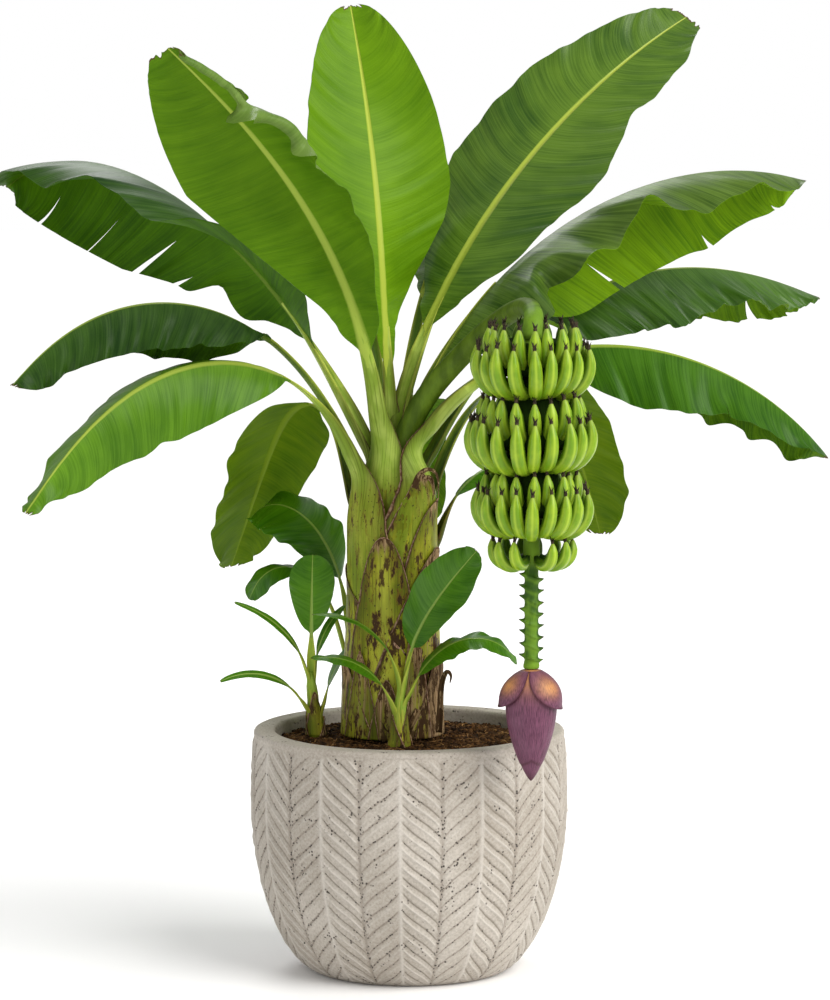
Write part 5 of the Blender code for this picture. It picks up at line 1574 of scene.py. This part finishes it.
def finger_mesh(name, hand, upper, sides, rings):
    """One banana, modelled where compass 0 points out, with its dried flower at the tip."""
    arc = hand.arc * (UPPER_ROW_ARC if upper else 1.0)
    reach = hand.reach - (UPPER_ROW_INSET if upper else 0.0)
    centre_out = reach - arc - hand.finger
    start = -math.degrees(math.acos((PEDICEL_ROOT - centre_out) / arc))
    shares, girths = zip(*FINGER_GIRTH)
    steps = np.linspace(0.0, 1.0, rings) ** 0.9
    steps = np.concatenate([steps, (1.015, 1.045, 1.075)])
    girth = np.concatenate([np.interp(steps[:rings], shares, girths), (0.22, 0.28, 0.16)])
    swing = np.radians(start + (ARC_END - start) * steps)
    spoke = spokes(sides)
    facet = (spoke + math.pi / 5) % (2 * math.pi / 5) - math.pi / 5
    flat = 0.55 * math.cos(math.pi / 5) / np.cos(facet) + 0.45
    flat = flat / flat.mean()
    radius = hand.finger * girth[:, None] * (1 + (flat - 1) * (girth[:, None] > 0.35))
    reach_out = arc + radius * np.cos(spoke)
    bend = np.where(swing > 0, 1 - TIP_BEND * (1 - np.cos(swing)), np.cos(swing))
    x = centre_out + reach_out * bend[:, None]
    z = reach_out * np.sin(swing)[:, None]
    rows = np.stack([x, radius * np.sin(spoke), z], -1)[:, ::-1]
    ridge = np.broadcast_to(np.abs(facet) / (math.pi / 5), radius.shape)[:, ::-1]
    # flank: where a finger takes painted shade, on its sides and the side facing the stalk
    flank = np.broadcast_to(smoothstep((0.55 - np.cos(spoke)) / 0.8), radius.shape)[:, ::-1]
    points, faces = rows.reshape(-1, 3).tolist(), ring_faces(*rows.shape[:2])
    tip = np.array(rows[-2].mean(0))
    ahead = np.array((-TIP_BEND * math.sin(swing[-1]), 0.0, 1.0))
    lean = np.array((1.0, 0.0, TIP_BEND * math.sin(swing[-1])))
    for prong, turn in enumerate((0.3, 2.2, 3.6, 5.0)):
        away = lean * math.cos(turn) + np.array((0.0, math.sin(turn), 0.0))
        first = len(points)
        for corner in (0.0, 2.1, 4.2):
            spread = lean * math.cos(corner) + np.array((0.0, math.sin(corner), 0.0))
            points.append((tip + spread * 0.0030).tolist())
        points.append((tip + ahead * (0.0100 + 0.0022 * prong) + away * 0.0070).tolist())
        for side in range(3):
            faces.append([first + side, first + (side + 1) % 3, first + 3])
        faces.append([first + 2, first + 1, first])
    share = np.repeat(steps, sides)
    length = len(points)
    flower = np.concatenate([(share > 1.0).astype(float), np.ones(length - len(share))])
    share = np.concatenate([share, np.full(length - len(share), 1.1)])
    ridges = np.concatenate([ridge.ravel(), np.ones(length - ridge.size)])
    flanks = np.concatenate([flank.ravel(), np.ones(length - flank.size)])
    uvs = np.stack([ridges, share], -1)
    return mesh_object(name, points, faces, [], uvs, {"flower": flower, "flank": flanks})


def row_points(name, hand, upper, seed):
    """Points of one row of fingers, each with its turn about the stalk and its size."""
    chance = random.Random(seed)
    count = hand.upper if upper else hand.lower
    spins, sizes = [], []
    start = math.radians(FRONT_COMPASS) if hand.missing else 0.0
    for index in range(hand.missing, count):
        compass = start + 2 * math.pi * (index + (0.5 if upper else 0.0)) / count
        turn = math.radians(chance.uniform(-2.8, 2.8))
        lean = math.radians(chance.uniform(-2.5, 2.5))
        spins.append((math.radians(chance.uniform(-3, 3)), lean, compass + turn))
        sizes.append(chance.uniform(0.93, 1.04))
    level = hand.level + (hand.lift if upper else 0.0)
    mesh = bpy.data.meshes.new(name)
    mesh.from_pydata([(BUNCH_X, BUNCH_Y, level)] * len(sizes), [], [])
    layer = mesh.attributes.new("spin", "FLOAT_VECTOR", "POINT")
    layer.data.foreach_set("vector", np.array(spins, dtype=np.float32).ravel())
    layer = mesh.attributes.new("size", "FLOAT", "POINT")
    layer.data.foreach_set("value", np.array(sizes, dtype=np.float32))
    return mesh


def row_tree():
    """Put a finger on every point, turned and sized by the point's own values."""
    tree = GeometryTree("finger_row", {"Finger": "Object", "Finish": "Material"})
    finger = tree.node("GeometryNodeObjectInfo", Object=tree.given["Finger"])
    spin = tree.value("GeometryNodeInputNamedAttribute", "FLOAT_VECTOR", Name="spin")
    size = tree.value("GeometryNodeInputNamedAttribute", "FLOAT", Name="size")
    fingers = tree.node("GeometryNodeInstanceOnPoints", Points=tree.given["Geometry"],
                        Instance=finger["Geometry"], Rotation=spin, Scale=size)
    return tree.finish(fingers[0], tree.given["Finish"])


def fruit_material():
    """Waxy green fruit: a painted highlight along the flat faces, darker at the ridges, painted shade on
    the flanks and at the bases, blackened flower.
    """
    shader = Shader("fruit_skin", 0.36, Specular_IOR_Level=0.3)
    ridge, share = shader.across_along()
    cloud = shader.noise(shader.place(), 26.0, 3.0)
    speck = shader.noise(shader.place(), 260.0, 2.0)
    tone = shader.mix(shader.step(cloud, 0.35, 0.65), (0.150, 0.285, 0.006), (0.25, 0.39, 0.014))
    # painted highlight along the middle of each flat face
    tone = shader.tint(tone, (0.50, 0.67, 0.055), shader.step(ridge, 0.55, 0.0), 0.5)
    tone = shader.tint(tone, (0.12, 0.30, 0.012), shader.step(ridge, 0.75, 1.0), 0.35)
    # painted shade on the sides of each finger and the side that faces the stalk
    tone = shader.tint(tone, (0.035, 0.095, 0.003), shader.mask("flank"), 0.8)
    # painted shade at the finger bases, between the hands
    tone = shader.tint(tone, (0.012, 0.040, 0.003), shader.step(share, 0.30, 0.05), 1.0)
    tone = shader.tint(tone, (0.30, 0.40, 0.06), shader.step(share, 0.90, 1.0), 0.55)
    tone = shader.tint(tone, (0.10, 0.13, 0.02), shader.step(speck, 0.70, 0.74), 0.6)
    tone = shader.mix(shader.mask("flower"), tone, shader.mix(shader.step(speck, 0.4, 0.6),
                      (0.012, 0.008, 0.004), (0.050, 0.034, 0.016)))
    dull = shader.math("MULTIPLY_ADD", shader.mask("flower"), 0.5, 0.36)
    return shader.finish(tone, dull, cloud, 0.15, 0.002)


def collar_material():
    """Dark green of the collars that the fingers grow from, painted shade between the fingers."""
    shader = Shader("collar_skin", 0.9, Specular_IOR_Level=0.05)
    cloud = shader.noise(shader.place(), 60.0, 3.0)
    tone = shader.mix(cloud, (0.004, 0.012, 0.001), (0.018, 0.042, 0.004))
    return shader.finish(tone, None, cloud, 0.4, 0.002)


def build_hub(name, number, material):
    """Collar of a hand: a cup behind its fingers and a neck up to the hand above, a dark filler of painted
    shade in the gaps between fingers.
    """
    hand = HANDS[number]
    centre_out = hand.reach - hand.arc - hand.finger
    inside = hand.arc - CUP_DEPTH * hand.finger
    swing = np.radians(np.linspace(-72, 22, 20))
    cup, rise = centre_out + inside * np.cos(swing), hand.level + inside * np.sin(swing)
    top = rise[-1] + hand.lift * 0.7
    if number:
        above = HANDS[number - 1]
        ceiling = above.level - 0.95 * (above.arc - CUP_DEPTH * above.finger)
        neck = ((cup[-1] * 0.66, top - 0.006), (0.046, ceiling), (0.012, ceiling + 0.001))
    else:
        neck = ((cup[-1] * 0.9, top), (0.052, top - 0.010), (0.030, top - 0.026),
                (0.012, top - 0.034))
    necks, tops = zip(*neck)
    cup = np.concatenate([(0.012, 0.020), cup, necks])
    rise = np.concatenate([(rise[0] - 0.002, rise[0] - 0.002), rise, tops])
    angles = spokes(72)
    radius = cup[:, None] * (1 + 0.03 * np.cos(angles * hand.lower))
    rings = bunch_rings(angles, radius, rise[:, None])
    return ring_mesh(name, rings, rings[..., 0], rings[..., 1], material)


def build_fruit():
    material = fruit_material()
    dark = collar_material()
    tree = row_tree()
    for number, hand in enumerate(HANDS):
        name = "hand_%d" % (number + 1)
        if hand.upper:
            settle(build_hub("collar_%d" % (number + 1), number, dark), SLOTS[name])
        for upper in (False, True):
            if upper and not hand.upper:
                continue
            label = name + ("_upper" if upper else "_lower")
            finger = finger_mesh("finger_" + label, hand, upper, 20, 18)
            made = grow("fingers_" + label, row_points(label, hand, upper, number * 2 + upper),
                        tree, {"Finger": finger, "Finish": material})
            bpy.data.objects.remove(finger, do_unlink=True)
            settle(made, SLOTS[name], *([] if upper else [name]))


# ================================================================ stalk of the bunch
def bunch_stalk_material():
    """Bright green stalk, dark at the tips of its scars, with painted shade on most of its rise and painted
    light between the hands.
    """
    shader = Shader("bunch_stalk_skin", 0.55, Specular_IOR_Level=0.15)
    cloud = shader.noise(shader.place((40.0, 40.0, 14.0)), 1.0, 3.0)
    grain = shader.noise(shader.place((150.0, 150.0, 60.0)), 1.0, 3.0)
    tone = shader.mix(shader.step(cloud, 0.40, 0.60), (0.030, 0.080, 0.006), (0.105, 0.21, 0.015))
    # bright: painted light, on the end of the rise by the bunch and on the stalk between the hands; the
    # dark green of the rest of the rise is painted shade
    tone = shader.tint(tone, (0.17, 0.31, 0.018), shader.mask("bright"), 0.7)
    tone = shader.mix(shader.mask("old"), tone, shader.mix(shader.step(cloud, 0.3, 0.7),
                      (0.050, 0.090, 0.004), (0.105, 0.175, 0.010)))
    tone = shader.tint(tone, (0.04, 0.10, 0.012), shader.step(grain, 0.55, 0.75), 0.35)
    tone = shader.mix(shader.mask("horn"), tone, (0.055, 0.028, 0.028))
    return shader.finish(tone, None, grain, 0.4, 0.0012)


def build_peduncle(material):
    """Stalk that rises out of the crown and arches over to the bunch."""
    spine = Spine(PEDUNCLE)
    distances = np.linspace(0.0, spine.length, 90)
    side, up = spine.frame(distances)
    half = spine.stalk_half(distances)[:, None]
    sag = smoothstep(distances / 0.3) * (1 - smoothstep((distances - 0.58) / 0.11))
    angles = spokes(36)
    ripple = 1 + 0.03 * waves(angles * 0.4 + distances[:, None], 5, (0.7, 0.27), (0.6, 0.4))
    x, y = -half * ripple * np.cos(angles), half * ripple * np.sin(angles)
    rings = spine.point(distances)[:, None] + side[:, None] * x[..., None] \
        + up[:, None] * y[..., None]
    rings[..., 2] -= 0.022 * sag[:, None]
    made = ring_mesh("bunch_stem", rings, angles, distances[:, None], material, horn=0,
                     # painted light on the end of the rise next to the bunch
                     bright=smoothstep((distances - 0.56) / 0.08)[:, None],
                     old=1 - smoothstep((distances - 0.55) / 0.08)[:, None])
    settle(made, SLOTS["bunch_stalk_rise"], "bunch_stalk_rise", "bunch_stalk_arch")
    return spine.point(np.array([spine.length]))[0, 2]


def build_rachis(top, material):
    """Hanging stalk; under the last hand it is ringed with horned scars of fallen bracts."""
    heights = np.concatenate([np.linspace(RACHIS_FOOT, 0.872, 190), np.linspace(0.876, top, 30)])
    angles = spokes(72)
    level = heights[:, None] + 0.0012 * np.cos(angles * 2 + heights[:, None] * 90)
    level = level + 0.25 * SCAR_PITCH * np.cos(angles)
    ring = (level - SCAR_FOOT) / SCAR_PITCH
    number = np.clip(np.round(ring), 0, SCARS - 1)
    away = (ring - number) * SCAR_PITCH
    ledge = bell(away, 0.0030) + 0.55 * bell(away, 0.0070)
    turn = 0.35 * np.sin(number * 2.1)
    horn = unit(np.cos(2 * (angles - turn))) ** 5
    front = unit(np.cos(angles + 1.57 - 1.9 * number)) ** 12
    horn = np.maximum(horn, 0.7 * front)
    bare = smoothstep((BARE_TOP - heights) / BARE_RUN)[:, None]
    swell = BARE_RADIUS + (RACHIS_RADIUS - BARE_RADIUS) * (1 - bare)
    radius = swell + bare * (0.0018 * ledge + HORN * horn * bell(away, 0.0034))
    collar = bell(heights - 0.667, 0.007)[:, None]
    radius = radius * (1 - collar) + 0.0158 * collar
    lift = 0.0030 * bare * horn * bell(away, 0.0030)
    rings = bunch_rings(angles, radius, heights[:, None] + lift)
    bright = unit(collar + 0.45 * bell(away + 0.006, 0.004))
    dark = smoothstep((horn * bell(away, 0.0026) - 0.55) / 0.35) * bare
    made = ring_mesh("bunch_axis", rings, angles, heights[:, None], material, old=0, horn=dark,
                     # painted light on the stalk between the hands, where the hands shade it
                     bright=np.maximum(bright, 1.3 * (1 - bare)))
    settle(made, SLOTS["bunch_stalk"], "bunch_stalk")


# ================================================================ flower bud
BUD_TOP = RACHIS_FOOT - 0.0003
BUD_TIP = 0.440
BUD_RADIUS = 0.050


def bud_radius(drop):
    """Radius of the bud at a drop below its top."""
    share = unit(drop / (BUD_TOP - BUD_TIP))
    return BUD_RADIUS * np.sin(math.pi * share ** 0.62) ** 0.7


def bud_material():
    """Mauve bracts with fine stripes, a warm orange painted highlight on their faces, dark at the edges."""
    shader = Shader("bud_skin", 0.42, Specular_IOR_Level=0.3)
    around, along = shader.across_along()
    stripe = shader.streaks(around, along, 34.0, 10.0)
    cloud = shader.noise(shader.place(), 22.0, 3.0)
    tone = shader.mix(shader.step(stripe, 0.32, 0.66), (0.060, 0.016, 0.036), (0.19, 0.062, 0.115))
    tone = shader.tint(tone, (0.24, 0.10, 0.16), shader.step(cloud, 0.45, 0.75), 0.35)
    warm = shader.times(shader.mask("warm"), shader.step(stripe, 0.30, 0.62, 0.45, 1.0))
    tone = shader.mix(warm, tone, (0.62, 0.28, 0.085))
    tone = shader.mix(shader.mask("edge"), tone, (0.060, 0.012, 0.022))
    dull = shader.step(stripe, 0.3, 0.7, 0.36, 0.50)
    return shader.finish(tone, dull, stripe, 0.4, 0.0014)


def build_bud_core(material):
    """Closed heart of the bud: tight bracts that end in a dark point."""
    length = BUD_TOP - BUD_TIP
    shares = (1 - np.cos(np.linspace(0.0, math.pi, 110))) / 2
    drops = (length * (0.0015 + 0.997 * shares))[::-1, None]
    angles = spokes(96)
    share = drops / length
    overlap = 0.80 + 0.055 * np.abs(np.cos(angles)) ** 0.7
    step = smoothstep((overlap - share) / 0.012)
    ribs = 0.00035 * np.cos(angles * 31 + 3 * np.sin(angles * 3))
    radius = bud_radius(drops) * (0.955 + 0.045 * step) + ribs * smoothstep(share / 0.2) \
        * smoothstep((1 - share) / 0.2)
    rings = bunch_rings(angles, radius, BUD_TOP - drops)
    facing = bell((angles + math.pi / 2 + math.pi) % (2 * math.pi) - math.pi, 0.9)
    # painted highlight near the top of the bud, strongest on the front
    warm = bell(share, 0.16) * (0.35 + 0.65 * facing)
    edge = 0.8 * bell(np.abs(overlap - share), 0.012) + smoothstep((share - 0.90) / 0.1)
    made = ring_mesh("bud_heart", rings, angles, share, material, warm=warm,
                     edge=np.clip(edge, 0, 1))
    settle(made, SLOTS["flower_bud"], "flower_bud")


def build_bract(name, compass, spread, length, flare, glow, material):
    """Lifted bract: a domed shield over the bud's shoulder, ending in a point turned out."""
    rows, columns = 40, 33
    share = np.linspace(0.0, 1.0, rows)[::-1, None]
    across = np.linspace(-1.0, 1.0, columns)[None, :]
    half = np.radians(spread * (1 - share ** 1.5) ** 0.75 + 3)
    angles = math.radians(compass) + half * across
    drop = 0.004 + length * share + 0.012 * across ** 2 * (1 - share) * share * 4
    dome = 0.0065 * np.sin(math.pi * unit(share * 1.1)) * (1 - across ** 2) ** 0.8
    base = 0.020 * (1 - smoothstep(share / 0.22))
    radius = np.maximum(bud_radius(drop), base) + 0.0012 + dome + flare * share ** 1.6
    outer = bunch_rings(angles, radius, BUD_TOP - drop)
    inner = bunch_rings(angles, radius - 0.0016, BUD_TOP - (drop - 0.0006))
    index = np.arange(rows * columns).reshape(rows, columns)
    quads = np.stack([index[:-1, :-1], index[:-1, 1:], index[1:, 1:], index[1:, :-1]], -1)
    edge = np.clip(smoothstep((np.abs(across) - 0.90) / 0.10) + smoothstep((share - 0.88) / 0.12),
                   0.0, 1.0)
    # painted highlight on the bract's face, centred at glow
    warm = 0.95 * np.exp(-((share - 0.36) / 0.22) ** 2 - ((across - glow) / 0.36) ** 2)
    uvs = np.stack([angles + 0 * share, share + 0 * across], -1).reshape(-1, 2)
    masks = {"warm": (warm + 0 * across).ravel(), "edge": edge.ravel()}
    made = two_sided("shield_" + name, outer.reshape(-1, 3), inner.reshape(-1, 3),
                     quads.reshape(-1, 4).tolist(), [material], uvs, masks)
    settle(made, SLOTS[name], name)


def build_bunch():
    green = bunch_stalk_material()
    build_rachis(build_peduncle(green) - 0.0003, green)
    build_fruit()
    mauve = bud_material()
    build_bud_core(mauve)
    build_bract("bract_left", 190, 64, 0.070, 0.015, 0.35, mauve)
    build_bract("bract_right", -14, 84, 0.074, 0.011, -0.45, mauve)


# ================================================================ everything in order
set_camera()
set_light()
build_floor()
build_pot()
build_soil()
build_blades()
build_stems()
build_suckers()
build_bunch()
